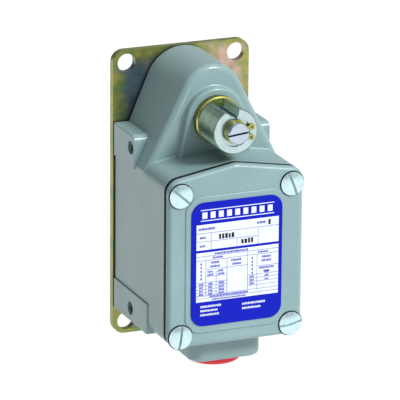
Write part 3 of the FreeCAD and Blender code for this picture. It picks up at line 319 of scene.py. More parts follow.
def chromate_plate(name, plating, half_w, half_h):
    """Rolled sheet with a yellow chromate film: green and gold at its edges; inside, the film runs from dark
    violet at the left to light rose at the right.
    """
    f = Finish(name, Metallic=0.85)
    from_side = f.maths("SUBTRACT", half_w, f.maths("ABSOLUTE", f.axis("X")))
    from_end = f.maths("SUBTRACT", half_h, f.maths("ABSOLUTE", f.axis("Z")))
    edge = f.maths("MINIMUM", from_side, from_end)
    blot = f.noise(0.016, 3.0, 0.55, warp=0.8)
    wander = f.maths("ADD", edge, f.spread(blot, 0.3, 0.7, -0.005, 0.005))
    inside = f.spread(wander, 0.002, 0.010)
    rim = f.ramp(f.noise(0.008, 2.0), (0.35, plating.green), (0.65, plating.gold))
    drift = f.spread(f.noise(0.025, 2.0), 0.3, 0.7, -0.015, 0.015)
    side = f.spread(f.maths("ADD", f.axis("X"), drift), -0.02, 0.02)
    bloom = f.mix(side, tuple(plating.violet), tuple(plating.rose))
    mottle = f.ramp(f.noise(0.007, 3.0, 0.6), (0.35, shade(plating.green, 1.1)), (0.6, (1, 1, 1)))
    bloom = f.mix(0.4, bloom, mottle, "MULTIPLY")
    base = f.mix(inside, rim, bloom)
    rolled = f.noise(0.0009, 3.0, 0.6, f.stretched(1, 1, 0.06))
    base = f.mix(0.08, base, f.ramp(rolled, (0.3, (0.35, 0.36, 0.3)), (0.7, (1, 1, 1))), "MULTIPLY")
    rough = f.spread(f.noise(0.004, 4.0), 0.3, 0.7, 0.3, 0.42)
    normal = f.bump(rolled, 0.00002, 0.35, f.bump(f.noise(0.003, 2.0), 0.0001, 0.25))
    return f.done(base, rough, normal)


def chromate_bushing(name, plating, face_y, rim):
    """Turned collar: olive chromate made darker as painted shade at the side, a painted highlight on the
    chamfer and yellow-green on the face.
    """
    f = Finish(name, Metallic=0.9)
    behind = f.maths("SUBTRACT", f.axis("Y"), face_y)
    face = f.ramp(f.noise(0.003, 3.0, 0.6), (0.3, plating.green), (0.7, plating.gold))
    # painted highlight: the chamfer behind the face is a brightened gold
    lip = f.mix(f.spread(behind, 0.00002, 0.00006), face, shade(plating.gold, 1.6))
    # painted shade: the side behind the chamfer takes the darker olive
    base = f.mix(f.spread(behind, rim, rim * 1.15), lip, tuple(plating.olive))
    rings = f.maths("SINE", f.maths("MULTIPLY", f.axis("Y"), 2 * math.pi / FINE_RINGS))
    rough = f.spread(f.noise(0.0016, 3.0), 0.3, 0.7, 0.22, 0.34)
    return f.done(base, rough, f.bump(rings, 0.000008, 0.3, f.bump(f.noise(0.0005, 2.0), 0.00002, 0.3)))


def chromate_part(name, plating):
    """Turned or stamped part with a yellow chromate film."""
    f = Finish(name, Metallic=0.95)
    base = f.ramp(f.noise(0.0035, 3.0, 0.6), (0.3, plating.green), (0.5, plating.gold),
                  (0.75, shade(plating.gold, 1.35)))
    rough = f.spread(f.noise(0.0016, 3.0), 0.3, 0.7, 0.2, 0.36)
    return f.done(base, rough, f.bump(f.noise(0.0005, 2.0), 0.00002, 0.4))


def turned(name, base, centre, face_y):
    """Metal faced in a lathe, with fine rings about an axis along Y and painted shade darkening the slot in
    its face.
    """
    f = Finish(name, Metallic=1.0)
    radius = f.radius_from(*centre)
    rings = f.maths("SINE", f.maths("MULTIPLY", radius, 2 * math.pi / FINE_RINGS))
    tint = f.ramp(f.noise(0.005, 2.0), (0.3, shade(base, 0.93)), (0.7, shade(base, 1.04)))
    behind = f.maths("SUBTRACT", f.axis("Y"), face_y)
    sunk_shade = f.spread(behind, STUB_SLOT_SKIN, STUB_SLOT_SKIN + STUB_SLOT_FADE)
    within = f.spread(radius, STUB_SLOT_REACH - 0.1 * MM, STUB_SLOT_REACH, 1.0, 0.0)
    # painted shade: the slot in the stub's face is darkened
    tint = f.mix(f.maths("MULTIPLY", sunk_shade, within), tint, shade(base, 0.14))
    scratched = f.noise(0.0004, 2.0, 0.6, f.stretched(1, 1, 0.15))
    normal = f.bump(rings, 0.000006, 0.35, f.bump(scratched, 0.00001, 0.3))
    return f.done(tint, f.spread(f.noise(0.0012, 3.0), 0.3, 0.7, 0.14, 0.26), normal)


def knurled_zinc(name, plating, axis_z, outer):
    """Turned zinc-plated sleeve: silver faces with fine rings, and a darker green on the knurl."""
    f = Finish(name, Metallic=0.95)
    radius = f.radius_from(0.0, axis_z)
    rings = f.maths("SINE", f.maths("MULTIPLY", radius, 2 * math.pi / SLEEVE_RINGS))
    face = f.ramp(f.noise(0.004, 2.0), (0.3, shade(plating.sleeve, 0.92)), (0.7, shade(plating.sleeve, 1.04)))
    bloom = f.ramp(f.noise(0.006, 2.0), (0.3, shade(plating.knurl, 0.88)), (0.7, shade(plating.knurl, 1.15)))
    tint = f.mix(f.spread(radius, outer - 0.0008, outer - 0.0004), face, bloom)
    rough = f.spread(f.noise(0.0012, 3.0), 0.3, 0.7, 0.24, 0.36)
    return f.done(tint, rough, f.bump(rings, 0.000006, 0.35))


def plated(name, base, rough_low=0.2, rough_high=0.36, grain=0.0006, shade_behind=None):
    """Small plated or machined metal part with a fine grain, and painted shade behind a given plane."""
    f = Finish(name, Metallic=1.0)
    tint = f.ramp(f.noise(0.0045, 2.0), (0.28, shade(base, 0.92)), (0.5, base), (0.74, shade(base, 1.05)))
    specks = f.spread(f.noise(grain, 1.0), 0.7, 0.8)
    tint = f.mix(f.maths("MULTIPLY", specks, 0.15), tint, shade(base, 0.6))
    # painted shade: darker behind the given plane, in the slots and sides of a screw head
    if shade_behind is not None:
        sunk_shade = f.spread(f.maths("SUBTRACT", f.axis("Y"), shade_behind), 0.0, 0.00015)
        tint = f.mix(sunk_shade, tint, shade(base, 0.42))
    rough = f.spread(f.noise(0.0014, 3.0), 0.3, 0.7, rough_low, rough_high)
    return f.done(tint, rough, f.bump(f.noise(grain, 2.0), 0.00002, 0.4))


def rubber(name, base, speck):
    """Cork and rubber sheet: dark, matt and granular."""
    f = Finish(name, Specular_IOR_Level=0.2)
    crumbs = f.cells(0.0011)
    tint = f.ramp(f.maths("ADD", crumbs, f.maths("MULTIPLY", f.noise(0.0006, 3.0), 0.5)),
                  (0.35, speck), (0.75, base), (1.0, shade(base, 0.5)))
    rough = f.spread(f.noise(0.001, 2.0), 0.3, 0.7, 0.6, 0.85)
    return f.done(tint, rough, f.bump(crumbs, 0.00012, 0.6, f.bump(f.noise(0.0004, 2.0), 0.00005, 0.5)))


def moulding(name, base, gloss, mottle=0.12, soft=0.0):
    """Moulded plastic: cloudy colour, a fine spark-eroded grain and slow sink marks."""
    f = Finish(name, Subsurface_Weight=soft, Subsurface_Scale=0.002, Specular_IOR_Level=0.5)
    clouds = f.noise(0.008, 4.0, 0.6, warp=0.6)
    tint = f.ramp(clouds, (0.3, shade(base, 1 - mottle)), (0.7, shade(base, 1 + mottle)))
    flecks = f.spread(f.noise(0.0005, 1.0), 0.7, 0.8)
    tint = f.mix(f.maths("MULTIPLY", flecks, 0.3), tint, shade(base, 1.6))
    rough = f.spread(f.noise(0.0022, 3.0), 0.3, 0.7, gloss - 0.06, gloss + 0.08)
    grain = f.bump(f.noise(0.0003, 2.0), 0.00003, 0.4)
    return f.done(tint, rough, f.bump(f.noise(0.006, 1.0), 0.0002, 0.15, grain))


def ink(name, base, gloss):
    """Screen-printed ink, a little uneven in cover and sheen."""
    f = Finish(name, Specular_IOR_Level=0.15)
    tint = f.ramp(f.noise(0.006, 4.0, 0.6), (0.3, shade(base, 0.94)), (0.7, shade(base, 1.05)))
    mesh_marks = f.noise(0.00025, 1.0)
    rough = f.spread(f.noise(0.003, 3.0), 0.3, 0.7, gloss - 0.04, gloss + 0.06)
    return f.done(tint, rough, f.bump(mesh_marks, 0.000008, 0.4))


def wear(names, material):
    """Gives CAD nodes a finish."""
    for name in names:
        mesh = NODES[name].data
        mesh.materials.clear()
        mesh.materials.append(material)


# ---------------------------------------------------------------- mesh helpers
def piece(name, mesh_data, material, body):
    """Makes an object of a bmesh, gives it a finish and lets it ride."""
    bmesh.ops.recalc_face_normals(mesh_data, faces=mesh_data.faces)
    mesh = bpy.data.meshes.new(name)
    mesh_data.to_mesh(mesh)
    mesh_data.free()
    mesh.materials.append(material)
    made = bpy.data.objects.new(name, mesh)
    bpy.context.scene.collection.objects.link(made)
    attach(made, body)
    return made


def slab(target, x0, x1, z0, z1, back, front):
    """A thin closed slab that faces the front."""
    outline = ((x0, z0), (x1, z0), (x1, z1), (x0, z1))
    corners = [target.verts.new((x, y, z)) for y in (back, front) for x, z in outline]
    for face in ((0, 1, 2, 3), (7, 6, 5, 4), (0, 4, 5, 1), (1, 5, 6, 2), (2, 6, 7, 3), (3, 7, 4, 0)):
        target.faces.new([corners[i] for i in face])


def washer(target, x, z, inner, outer, back, front, steps=48):
    """A flat ring that faces the front."""
    angles = [2 * math.pi * k / steps for k in range(steps)]
    rings = []
    for radius, y in ((inner, back), (outer, back), (outer, front), (inner, front)):
        rings.append([target.verts.new((x + radius * math.cos(a), y, z + radius * math.sin(a)))
                      for a in angles])
    for i, ring in enumerate(rings):
        beside = rings[(i + 1) % 4]
        for k in range(steps):
            j = (k + 1) % steps
            target.faces.new((ring[k], ring[j], beside[j], beside[k]))


def thread_ridge(target, start, along, out, major, minor, pitch, turns, steps=28):
    """One helical thread ridge inside a bore. along is the bore's axis and out a direction square to it."""
    across = along.cross(out)
    rows = []
    for i in range(int(turns * steps) + 1):
        angle = 2 * math.pi * i / steps
        fade = min(1.0, i / steps, turns - i / steps)
        crest = major - (major - minor) * max(fade, THREAD_RUN_OUT)
        radial = out * math.cos(angle) + across * math.sin(angle)
        base = start + along * (pitch * i / steps)
        rows.append([target.verts.new(base + radial * r + along * (pitch * share))
                     for r, share in zip((major, crest, crest, major), THREAD_PROFILE)])
    for last, this in zip(rows, rows[1:]):
        for k in range(4):
            target.faces.new((last[k], last[(k + 1) % 4], this[(k + 1) % 4], this[k]))
    target.faces.new(rows[0])
    target.faces.new(rows[-1][::-1])


# ---------------------------------------------------------------- pieces
class Piece(bpy.types.Operator):
    """Base of the operators that make or finish pieces."""

    bl_options = {"REGISTER", "UNDO"}

    def execute(self, context):
        self.make(context.scene)
        return {"FINISHED"}


class SWITCH_OT_mounting_plate(Piece):
    """Finishes the chromated mounting plate and its screws"""

    bl_idname = "switch.mounting_plate"
    bl_label = "Mounting Plate"

    def make(self, scene):
        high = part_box("mounting_plate")[1]
        wear(["mounting_plate"], chromate_plate("plate_chromate", scene.switch_plating, high.x, high.z))
        wear(["plate_screws", "ground_screw", "ground_clamp"],
             chromate_part("screw_chromate", scene.switch_plating))


class SWITCH_OT_gaskets(Piece):
    """Finishes the two gaskets and the spindle's O-ring"""

    bl_idname = "switch.gaskets"
    bl_label = "Gaskets"

    def make(self, scene):
        wear(["plate_gasket"], rubber("cork_gasket", (0.012, 0.010, 0.009), (0.035, 0.018, 0.013)))
        wear(["cover_gasket", "spindle_seal"],
             rubber("black_gasket", (0.006, 0.007, 0.008), (0.014, 0.015, 0.017)))


class SWITCH_OT_castings(Piece):
    """Paints the housing and the cover"""

    bl_idname = "switch.castings"
    bl_label = "Housing and Cover"

    def make(self, scene):
        paint = scene.switch_enamel
        wear(["housing"], enamel("body_enamel", tuple(paint.body), paint.gloss, paint.peel))
        wear(["cover"], enamel("cover_enamel", tuple(paint.cover), paint.gloss, paint.peel))


class SWITCH_OT_threads(Piece):
    """Cuts threads in the side holes and the conduit entry"""

    bl_idname = "switch.threads"
    bl_label = "Threads"

    def make(self, scene):
        # bare tapped metal, made near black as painted shade inside the holes
        paint = plated("tapped_metal_and_shade", (0.10, 0.11, 0.11), 0.4, 0.6)
        side = bmesh.new()
        half_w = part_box("housing")[1].x
        for mount in frame["record"]["mounts"]:
            if mount["name"].endswith("side_hole"):
                centre = Vector(mount["pos_m"])
                hand = math.copysign(1.0, centre.x)
                start = Vector((hand * (half_w - SIDE_THREAD_IN), centre.y, centre.z))
                thread_ridge(side, start, Vector((-hand, 0, 0)), Vector((0, 0, 1)), **SIDE_THREAD)
        piece("side_hole_threads", side, paint, "switch_body")
        entry = bmesh.new()
        low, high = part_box("conduit_plug")
        start = Vector(((low.x + high.x) / 2, (low.y + high.y) / 2, high.z + ENTRY_THREAD_UP))
        thread_ridge(entry, start, Vector((0, 0, 1)), Vector((1, 0, 0)), **ENTRY_THREAD)
        piece("conduit_thread", entry, paint, "switch_body")


class SWITCH_OT_fastenings(Piece):
    """Finishes the cover's screws and their captive rings, and rings each screw head with a painted shadow"""

    bl_idname = "switch.fastenings"
    bl_label = "Cover Screws"

    def make(self, scene):
        head_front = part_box("cover_screws")[0].y
        # painted shade: the screws' slots and the sides of their heads, behind the dome, are darkened
        wear(["cover_screws"], plated("screw_zinc", shade(tuple(scene.switch_plating.zinc), 1.2), 0.24, 0.34,
                                      shade_behind=head_front + SCREW_DOME))
        wear(["cover_screw_captive_rings"], moulding("nylon_rings", (0.7, 0.68, 0.6), 0.45, soft=0.2))
        low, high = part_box("cover_screws")
        cover_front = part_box("nameplate")[1].y + PANEL_RISE
        # painted shadow: thin black rings, half set into the cover, outline each screw head
        shadow_rings = bmesh.new()
        for x in (low.x + SCREW_HEAD_R, high.x - SCREW_HEAD_R):
            for z in (low.z + SCREW_HEAD_R, high.z - SCREW_HEAD_R):
                washer(shadow_rings, x, z, SHADOW_RING_INNER_R, SHADOW_RING_OUTER_R, cover_front + SHADOW_RING_HALF_T,
                       cover_front - SHADOW_RING_HALF_T)
        dark = rubber("screw_shadow_ring", (0.006, 0.007, 0.008), (0.012, 0.013, 0.014))
        piece("cover_screw_shadow_rings", shadow_rings, dark, "switch_body")


class SWITCH_OT_sleeve(Piece):
    """Turns and knurls the split sleeve that a lever clamps on"""

    bl_idname = "switch.sleeve"
    bl_label = "Knurled Sleeve"

    def make(self, scene):
        s = scene.switch_sleeve
        low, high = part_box("lever_sleeve")
        axis_z = low.z + s.outer
        rear, front = -high.y, -low.y
        rows = max(2, round((front - rear - 2 * SLEEVE_CHAMFER) / (s.pitch / 2)))
        step = (front - rear - 2 * SLEEVE_CHAMFER) / rows
        sleeve = bmesh.new()
        grid = []
        for k, (outer, inner, knurled) in enumerate(self.section(s)):
            shallow = outer.length < s.recess
            tip = front - s.recess_depth if shallow else front
            lip = outer if shallow else outer.normalized() * s.recess
            bevel = 0.0 if shallow else SLEEVE_CHAMFER
            inward = outer.normalized()
            ring = [(outer, rear)]
            for i in range(rows + 1):
                depth = s.depth if knurled and (i + k) % 2 else 0.0
                reach = rear + SLEEVE_CHAMFER + step * i
                ring.append((outer - inward * depth, min(reach, tip)))
            ring += [(outer - inward * bevel, tip), (lip, tip), (lip, front - s.recess_depth),
                     (inner, front - s.recess_depth), (inner, rear)]
            grid.append([sleeve.verts.new((at.x, -reach, axis_z + at.y)) for at, reach in ring])
        count = len(grid[0])
        for k in range(len(grid) - 1):
            for i in range(count):
                j = (i + 1) % count
                a, b, c, d = grid[k][i], grid[k][j], grid[k + 1][j], grid[k + 1][i]
                if 1 <= i <= rows:
                    # each little square is split along the groove, so that diamonds stand up between grooves
                    split = ((a, b, d), (b, c, d)) if (i - 1 + k) % 2 == 0 else ((a, b, c), (a, c, d))
                    for corners in split:
                        sleeve.faces.new(corners)
                else:
                    sleeve.faces.new((a, b, c, d))
        sleeve.faces.new(grid[0])
        sleeve.faces.new(grid[-1][::-1])
        bmesh.ops.remove_doubles(sleeve, verts=sleeve.verts, dist=MERGE)
        bmesh.ops.dissolve_degenerate(sleeve, edges=sleeve.edges, dist=MERGE)
        finish = knurled_zinc("sleeve_zinc", scene.switch_plating, axis_z, s.outer)
        made = piece("knurled_sleeve", sleeve, finish, "rotor")
        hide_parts("lever_sleeve")

    def section(self, s):
        """Points of the outer outline and of the bore, from the saw cut's left side all the way round."""
        corner, ramp, wall = Vector(s.corner), Vector(s.ramp), Vector(s.wall)
        slope = (ramp - corner) / (ramp.x - corner.x)
        foot = corner - slope * s.saw
        bore_left = Vector((foot.x, math.sqrt(s.bore ** 2 - foot.x ** 2)))
        bore_right = Vector((corner.x, math.sqrt(s.bore ** 2 - corner.x ** 2)))
        edge = ramp.normalized() * s.outer
        points = []
        ramp_steps = 10
        for k in range(ramp_steps):
            outer = foot.lerp(edge, k / ramp_steps)
            points.append((outer, outer.normalized() * s.bore if k else bore_left, False))
        first = math.atan2(edge.y, edge.x)
        last = math.atan2(wall.y, wall.x) + 2 * math.pi
        columns = round((last - first) * s.outer / (s.pitch / 2) * COLUMN_SHARE)
        for k in range(columns + 1):
            angle = first + (last - first) * k / columns
            way = Vector((math.cos(angle), math.sin(angle)))
            knurled = first + PLAIN_LAND < angle < last - PLAIN_LAND / 3
            points.append((way * s.outer, bore_right if k == columns else way * s.bore, knurled))
        return points


class SWITCH_OT_spindle(Piece):
    """Finishes the spindle, bushing, rings, key and washer"""

    bl_idname = "switch.spindle"
    bl_label = "Spindle"

    def make(self, scene):
        plating = scene.switch_plating
        low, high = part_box("spindle")
        centre = (0.0, (low.z + high.z) / 2)
        wear(["spindle"], turned("ground_steel", tuple(plating.stub), centre, low.y))
        face_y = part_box("shaft_bushing")[0].y
        wear(["shaft_bushing"], chromate_bushing("bushing_chromate", plating, face_y, BUSHING_RIM))
        wear(["sleeve_retaining_ring"], chromate_part("ring_chromate", plating))
        wear(["thrust_washer", "spindle_circlip"], plated("phosphate_steel", (0.16, 0.16, 0.17), 0.35, 0.5))
        wear(["drive_key"], plated("key_steel", (0.5, 0.5, 0.52), 0.25, 0.4))


class SWITCH_OT_drive(Piece):
    """Finishes the pinion, rack plunger, clips, washers and bush"""

    bl_idname = "switch.drive"
    bl_label = "Rack and Pinion"

    def make(self, scene):
        wear(["drive_pinion", "rack_plunger"], plated("oiled_steel", (0.42, 0.41, 0.40), 0.18, 0.34, 0.0004))
        wear(["pinion_clip", "plunger_clips"], plated("blued_clip", (0.10, 0.12, 0.16), 0.3, 0.45))
        wear(["upper_spring_washer", "lower_spring_washer"],
             plated("washer_zinc", (0.6, 0.62, 0.62), 0.25, 0.4))
        wear(["plunger_bushing"], plated("sintered_bronze", (0.52, 0.33, 0.16), 0.38, 0.55, 0.0003))
        wear(["carrier_pin"], plated("pin_steel", (0.6, 0.6, 0.62), 0.15, 0.25))


class SWITCH_OT_springs(Piece):
    """Makes the springs as finished copies of the CAD springs"""

    bl_idname = "switch.springs"
    bl_label = "Springs"

    def make(self, scene):
        wire = plated("music_wire", (0.38, 0.38, 0.40), 0.2, 0.32)
        tinned = plated("tinned_wire", (0.62, 0.62, 0.6), 0.2, 0.3)
        self.coil("upper_return_coil", "upper_return_spring", wire, "switch_body", "plunger",
                  moving_end="low")
        self.coil("lower_return_coil", "lower_return_spring", wire, "switch_body", "plunger",
                  moving_end="high")
        self.coil("upper_contact_coil", "upper_contact_spring", tinned, "plunger", "upper_bridge_unit",
                  moving_end="high")
        self.coil("lower_contact_coil", "lower_contact_spring", tinned, "plunger", "lower_bridge_unit",
                  moving_end="low")

    def coil(self, name, node, finish, still, moving, moving_end):
        """A finished copy of a CAD spring; still, moving and moving_end are not used."""
        source = NODES[node]
        mesh = source.data.copy()
        mesh.name = name
        mesh.transform(source.matrix_world)
        mesh.materials.clear()
        mesh.materials.append(finish)
        made = bpy.data.objects.new(name, mesh)
        bpy.context.scene.collection.objects.link(made)
        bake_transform(made)
        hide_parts(node)


class SWITCH_OT_contacts(Piece):
    """Finishes the contact block, carrier, bridges, strips, tips and terminals"""

    bl_idname = "switch.contacts"
    bl_label = "Contact Block"

    def make(self, scene):
        wear(["contact_block"], moulding("phenolic_block", (0.032, 0.028, 0.026), 0.42, 0.25))
        wear(["contact_carrier"], moulding("ivory_carrier", (0.62, 0.56, 0.42), 0.4, soft=0.1))
        wear(["upper_bridge", "lower_bridge", "upper_fixed_contacts", "lower_fixed_contacts"],
             plated("stamped_brass", (0.72, 0.50, 0.20), 0.2, 0.36))
        wear(["upper_bridge_tips", "lower_bridge_tips", "fixed_contact_tips"],
             plated("silver_tips", (0.86, 0.85, 0.82), 0.2, 0.34))
        wear(["terminal_clamps", "terminal_screws", "contact_block_screws"],
             plated("terminal_zinc", (0.66, 0.67, 0.64), 0.22, 0.38))


class SWITCH_OT_nameplate(Piece):
    """Prints the label: blue ground, white panels, ruled lines and rows of small generic marks"""

    bl_idname = "switch.nameplate"
    bl_label = "Nameplate"

    def make(self, scene):
        label = scene.switch_label
        low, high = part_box("nameplate")
        self.left, self.top, self.face, self.ink = low.x, high.z, low.y, label.ink
        self.random = random.Random(12)
        wear(["nameplate"], ink("label_blue", tuple(label.blue), 0.34))
        white, blue, black = bmesh.new(), bmesh.new(), bmesh.new()
        for area in ((3.2, 56.1, 13.6, 29.4), (3.2, 56.1, 31.0, 61.8)):
            self.bar(white, *area, layer=1)
        self.rules(blue)
        self.panel_rows(blue, black)
        self.lower_marks(white)
        self.bar(white, 23.4, 35.8, 43.6, 57.0, layer=3)
        self.heading(white, label.ticks)
        for name, target, base in (("label_white", white, label.white), ("label_lines", blue, label.blue),
                                   ("label_stamping", black, label.black)):
            piece(name, target, ink(name + "_ink", tuple(base), 0.4), "switch_body")

    def bar(self, target, u0, u1, v0, v1, layer=2):
        """A slab of ink between two distances from the label's left and two from its top, in millimetres."""
        slab(target, self.left + u0 * MM, self.left + u1 * MM, self.top - v1 * MM, self.top - v0 * MM,
             self.face + self.ink * 0.5, self.face - self.ink * layer)

    def word(self, target, u, v, height, letters, wide=0.62, gap=0.3, layer=2):
        """A row of small blocks that stands for a word."""
        for _ in range(letters):
            width = wide * self.random.uniform(0.75, 1.25)
            low = v + height * self.random.choice((0.0, 0.0, 0.12))
            self.bar(target, u, u + width, low, v + height, layer)
            u += width + gap
        return u

    def rules(self, blue):
        """The ruled lines of both panels."""
        line = 0.22
        for u0, u1, v in ((3.2, 56.1, 19.0), (3.2, 42.8, 24.2), (3.2, 56.1, 33.4), (3.2, 56.1, 36.0),
                          (9.3, 36.2, 41.8), (9.3, 22.9, 46.2), (42.3, 56.1, 43.4), (3.2, 22.9, 49.8),
                          (3.2, 22.9, 51.9), (3.2, 22.9, 54.0), (3.2, 22.9, 56.1), (3.2, 36.2, 58.2),
                          (36.2, 56.1, 48.4), (36.2, 56.1, 50.6), (36.2, 56.1, 52.8), (36.2, 56.1, 55.0),
                          (3.2, 56.1, 57.6), (3.2, 56.1, 59.7)):
            self.bar(blue, u0, u1, v - line / 2, v + line / 2)
        for u, v0, v1 in ((12.6, 19.0, 29.4), (29.2, 24.2, 29.4), (42.8, 19.0, 29.4), (36.2, 33.4, 57.6),
                          (9.3, 36.0, 57.6), (22.9, 36.0, 58.2), (42.3, 36.0, 57.6), (16.0, 43.0, 57.6)):
            self.bar(blue, u - line / 2, u + line / 2, v0, v1)

    def panel_rows(self, blue, black):
        """Rows of small marks in the panels, and the larger stamped ones."""
        for u, v, height, letters in ((4.6, 15.6, 1.5, 12), (42.0, 15.5, 1.5, 6), (5.4, 21.0, 1.4, 4),
                                      (5.2, 26.2, 1.4, 4), (15.0, 31.6, 1.3, 24), (13.6, 34.1, 1.2, 7),
                                      (43.0, 34.1, 1.2, 7), (12.6, 37.0, 1.4, 6), (12.2, 39.4, 1.4, 7),
                                      (25.6, 37.0, 1.4, 7), (26.4, 39.4, 1.4, 6), (45.6, 37.2, 1.4, 6),
                                      (45.2, 39.6, 1.4, 7), (43.6, 44.0, 1.4, 11), (46.6, 46.2, 1.3, 4),
                                      (10.4, 42.6, 1.3, 4), (17.0, 42.6, 1.3, 4), (10.4, 44.5, 1.3, 4),
                                      (17.0, 44.5, 1.3, 5), (27.4, 49.4, 1.3, 4), (12.0, 58.4, 1.0, 26),
                                      (13.4, 60.3, 1.0, 24)):
            self.word(blue, u, v, height, letters)
        for row in range(4):
            v = 50.2 + 2.1 * row
            for u, letters in ((5.0, 3), (11.0, 3), (17.6, 4)):
                self.word(blue, u, v, 1.3, letters)
            if row < 3:
                self.word(blue, 37.6, 48.9 + 2.2 * row, 1.3, 3)
                self.word(blue, 47.4, 46.9 + 2.2 * row, 1.2, 3)
        for i in range(5):
            self.bar(blue, 5.9, 6.7, 37.4 + 2.3 * i, 38.8 + 2.3 * i)
            self.bar(blue, 38.8, 39.6, 37.4 + 2.3 * i, 38.8 + 2.3 * i)
        for u, v, letters in ((49.4, 15.0, 1), (17.6, 20.4, 5), (32.0, 25.0, 4)):
            self.word(black, u, v, 3.1, letters, wide=1.45, gap=0.62)

    def lower_marks(self, white):
        """Rows of small plain marks in the band under the panels."""
        for u, v, marks in ((6.0, 64.2, 15), (6.0, 66.8, 12), (6.0, 69.4, 14),
                            (33.0, 65.4, 16), (33.0, 68.2, 13)):
            self.word(white, u, v, 1.3, marks)

    def heading(self, white, ticks):
        """A band of equal plain bars between two rules, without any lettering."""
        left, right = 5.8, 53.0
        pitch = (right - left) / ticks
        for v in (4.4, 11.0):
            self.bar(white, left, right, v, v + 0.5)
        for i in range(ticks):
            self.bar(white, left + pitch * (i + 0.2), left + pitch * (i + 0.8), 6.0, 9.9)


class SWITCH_OT_plug(Piece):
    """Finishes the red transport plug"""

    bl_idname = "switch.plug"
    bl_label = "Transport Plug"

    def make(self, scene):
        wear(["conduit_plug"], moulding("red_polythene", (0.80, 0.014, 0.03), 0.36, 0.08, soft=0.1))


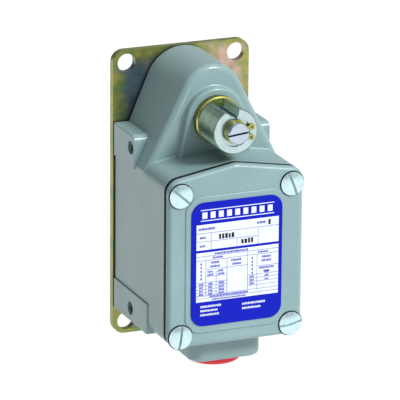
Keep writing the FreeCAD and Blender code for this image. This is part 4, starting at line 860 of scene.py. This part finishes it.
class SWITCH_OT_stage(Piece):
    """Sets the floor, the lights and the camera"""

    bl_idname = "switch.stage"
    bl_label = "Stage"

    def make(self, scene):
        stage = scene.switch_stage
        self.floor(scene, stage)
        self.surroundings(scene, stage)
        self.key_light(scene, stage)
        self.camera(scene, stage)
        scene.view_settings.view_transform = "Standard"

    def floor(self, scene, stage):
        f = Finish("floor_paper", Specular_IOR_Level=0.2)
        paper = f.ramp(f.noise(0.3, 2.0), (0.3, (0.90, 0.90, 0.90)), (0.7, (0.94, 0.94, 0.94)))
        sheet = bmesh.new()
        bmesh.ops.create_grid(sheet, x_segments=2, y_segments=2, size=stage.floor)
        bmesh.ops.translate(sheet, verts=sheet.verts, vec=(0, 0, CAD_BOX[0][2] - stage.drop))
        mesh = bpy.data.meshes.new("floor")
        sheet.to_mesh(mesh)
        sheet.free()
        mesh.materials.append(f.done(paper, 0.8, f.bump(f.noise(0.002, 2.0), 0.00005, 0.2)))
        floor = bpy.data.objects.new("floor", mesh)
        scene.collection.objects.link(floor)

    def surroundings(self, scene, stage):
        world = bpy.data.worlds.new("studio")
        world.use_nodes = True
        tree = world.node_tree
        way = tree.nodes.new("ShaderNodeTexCoord").outputs["Generated"]
        across = tree.nodes.new("ShaderNodeSeparateXYZ")
        level = tree.nodes.new("ShaderNodeMapRange")
        level.inputs["From Min"].default_value = -1.0
        level.inputs["To Min"].default_value = stage.dim
        level.inputs["To Max"].default_value = stage.bright
        tree.links.new(way, across.inputs["Vector"])
        tree.links.new(across.outputs["X"], level.inputs["Value"])
        above = self.combined(tree, "MAXIMUM", across.outputs["Z"], 0.0)
        lifted = self.combined(tree, "MULTIPLY", self.combined(tree, "POWER", above, 3.0), stage.zenith)
        total = self.combined(tree, "ADD", level.outputs["Result"], lifted)
        background = tree.nodes["Background"]
        background.inputs["Color"].default_value = (1.0, 1.0, 1.0, 1.0)
        tree.links.new(total, background.inputs["Strength"])
        scene.world = world

    def combined(self, tree, operation, a, b):
        node = tree.nodes.new("ShaderNodeMath")
        node.operation = operation
        for socket, value in zip(node.inputs, (a, b)):
            if isinstance(value, bpy.types.NodeSocket):
                tree.links.new(value, socket)
            else:
                socket.default_value = value
        return node.outputs[0]

    def key_light(self, scene, stage):
        light = bpy.data.lights.new("key_light", "SUN")
        light.energy = stage.key
        light.angle = stage.spread
        key = bpy.data.objects.new("key_light", light)
        toward = Vector((math.sin(stage.key_turn) * math.cos(stage.key_height),
                         -math.cos(stage.key_turn) * math.cos(stage.key_height), math.sin(stage.key_height)))
        key.location = toward
        key.rotation_euler = toward.to_track_quat("Z", "Y").to_euler()
        scene.collection.objects.link(key)

    def camera(self, scene, stage):
        back = Vector((-math.sin(stage.azimuth) * math.cos(stage.elevation),
                       -math.cos(stage.azimuth) * math.cos(stage.elevation), math.sin(stage.elevation)))
        level = Vector((math.cos(stage.azimuth), -math.sin(stage.azimuth), 0))
        upright = back.cross(level)
        right = level * math.cos(stage.roll) + upright * math.sin(stage.roll)
        up = upright * math.cos(stage.roll) - level * math.sin(stage.roll)
        plate_front = Vector((0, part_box("mounting_plate")[0].y, 0))
        place = plate_front + right * stage.across + up * stage.up + back * stage.distance
        data = bpy.data.cameras.new("camera")
        data.lens = stage.lens
        data.sensor_width = 36.0
        data.clip_end = 50.0
        camera = bpy.data.objects.new("camera", data)
        camera.matrix_world = Matrix.Translation(place) @ Matrix((right, up, back)).transposed().to_4x4()
        scene.collection.objects.link(camera)
        scene.camera = camera


PIECES = (SWITCH_OT_mounting_plate, SWITCH_OT_gaskets, SWITCH_OT_castings, SWITCH_OT_threads,
          SWITCH_OT_fastenings, SWITCH_OT_sleeve, SWITCH_OT_spindle, SWITCH_OT_drive, SWITCH_OT_springs,
          SWITCH_OT_contacts, SWITCH_OT_nameplate, SWITCH_OT_plug, SWITCH_OT_stage)
SETTINGS = {"switch_enamel": EnamelSettings, "switch_plating": PlatingSettings,
            "switch_sleeve": SleeveSettings, "switch_label": LabelSettings, "switch_stage": StageSettings}


class SWITCH_PT_panel(bpy.types.Panel):
    """Lists the switch's settings and pieces"""

    bl_label = "Limit Switch"
    bl_idname = "SWITCH_PT_panel"
    bl_space_type = "VIEW_3D"
    bl_region_type = "UI"
    bl_category = "Limit Switch"

    def draw(self, context):
        for name, group in SETTINGS.items():
            box = self.layout.box()
            box.label(text=group.__doc__)
            for setting in group.__annotations__:
                box.prop(getattr(context.scene, name), setting)
        for operator in PIECES:
            self.layout.operator(operator.bl_idname)


def register():
    for group in (*SETTINGS.values(), *PIECES, SWITCH_PT_panel):
        bpy.utils.register_class(group)
    for name, group in SETTINGS.items():
        setattr(bpy.types.Scene, name, bpy.props.PointerProperty(type=group))


def unregister():
    for name in SETTINGS:
        delattr(bpy.types.Scene, name)
    for group in (*SETTINGS.values(), *PIECES, SWITCH_PT_panel):
        bpy.utils.unregister_class(group)


def main():
    register()
    for operator in PIECES:
        family, name = operator.bl_idname.split(".")
        getattr(getattr(bpy.ops, family), name)()


if __name__ == "__main__":
    main()
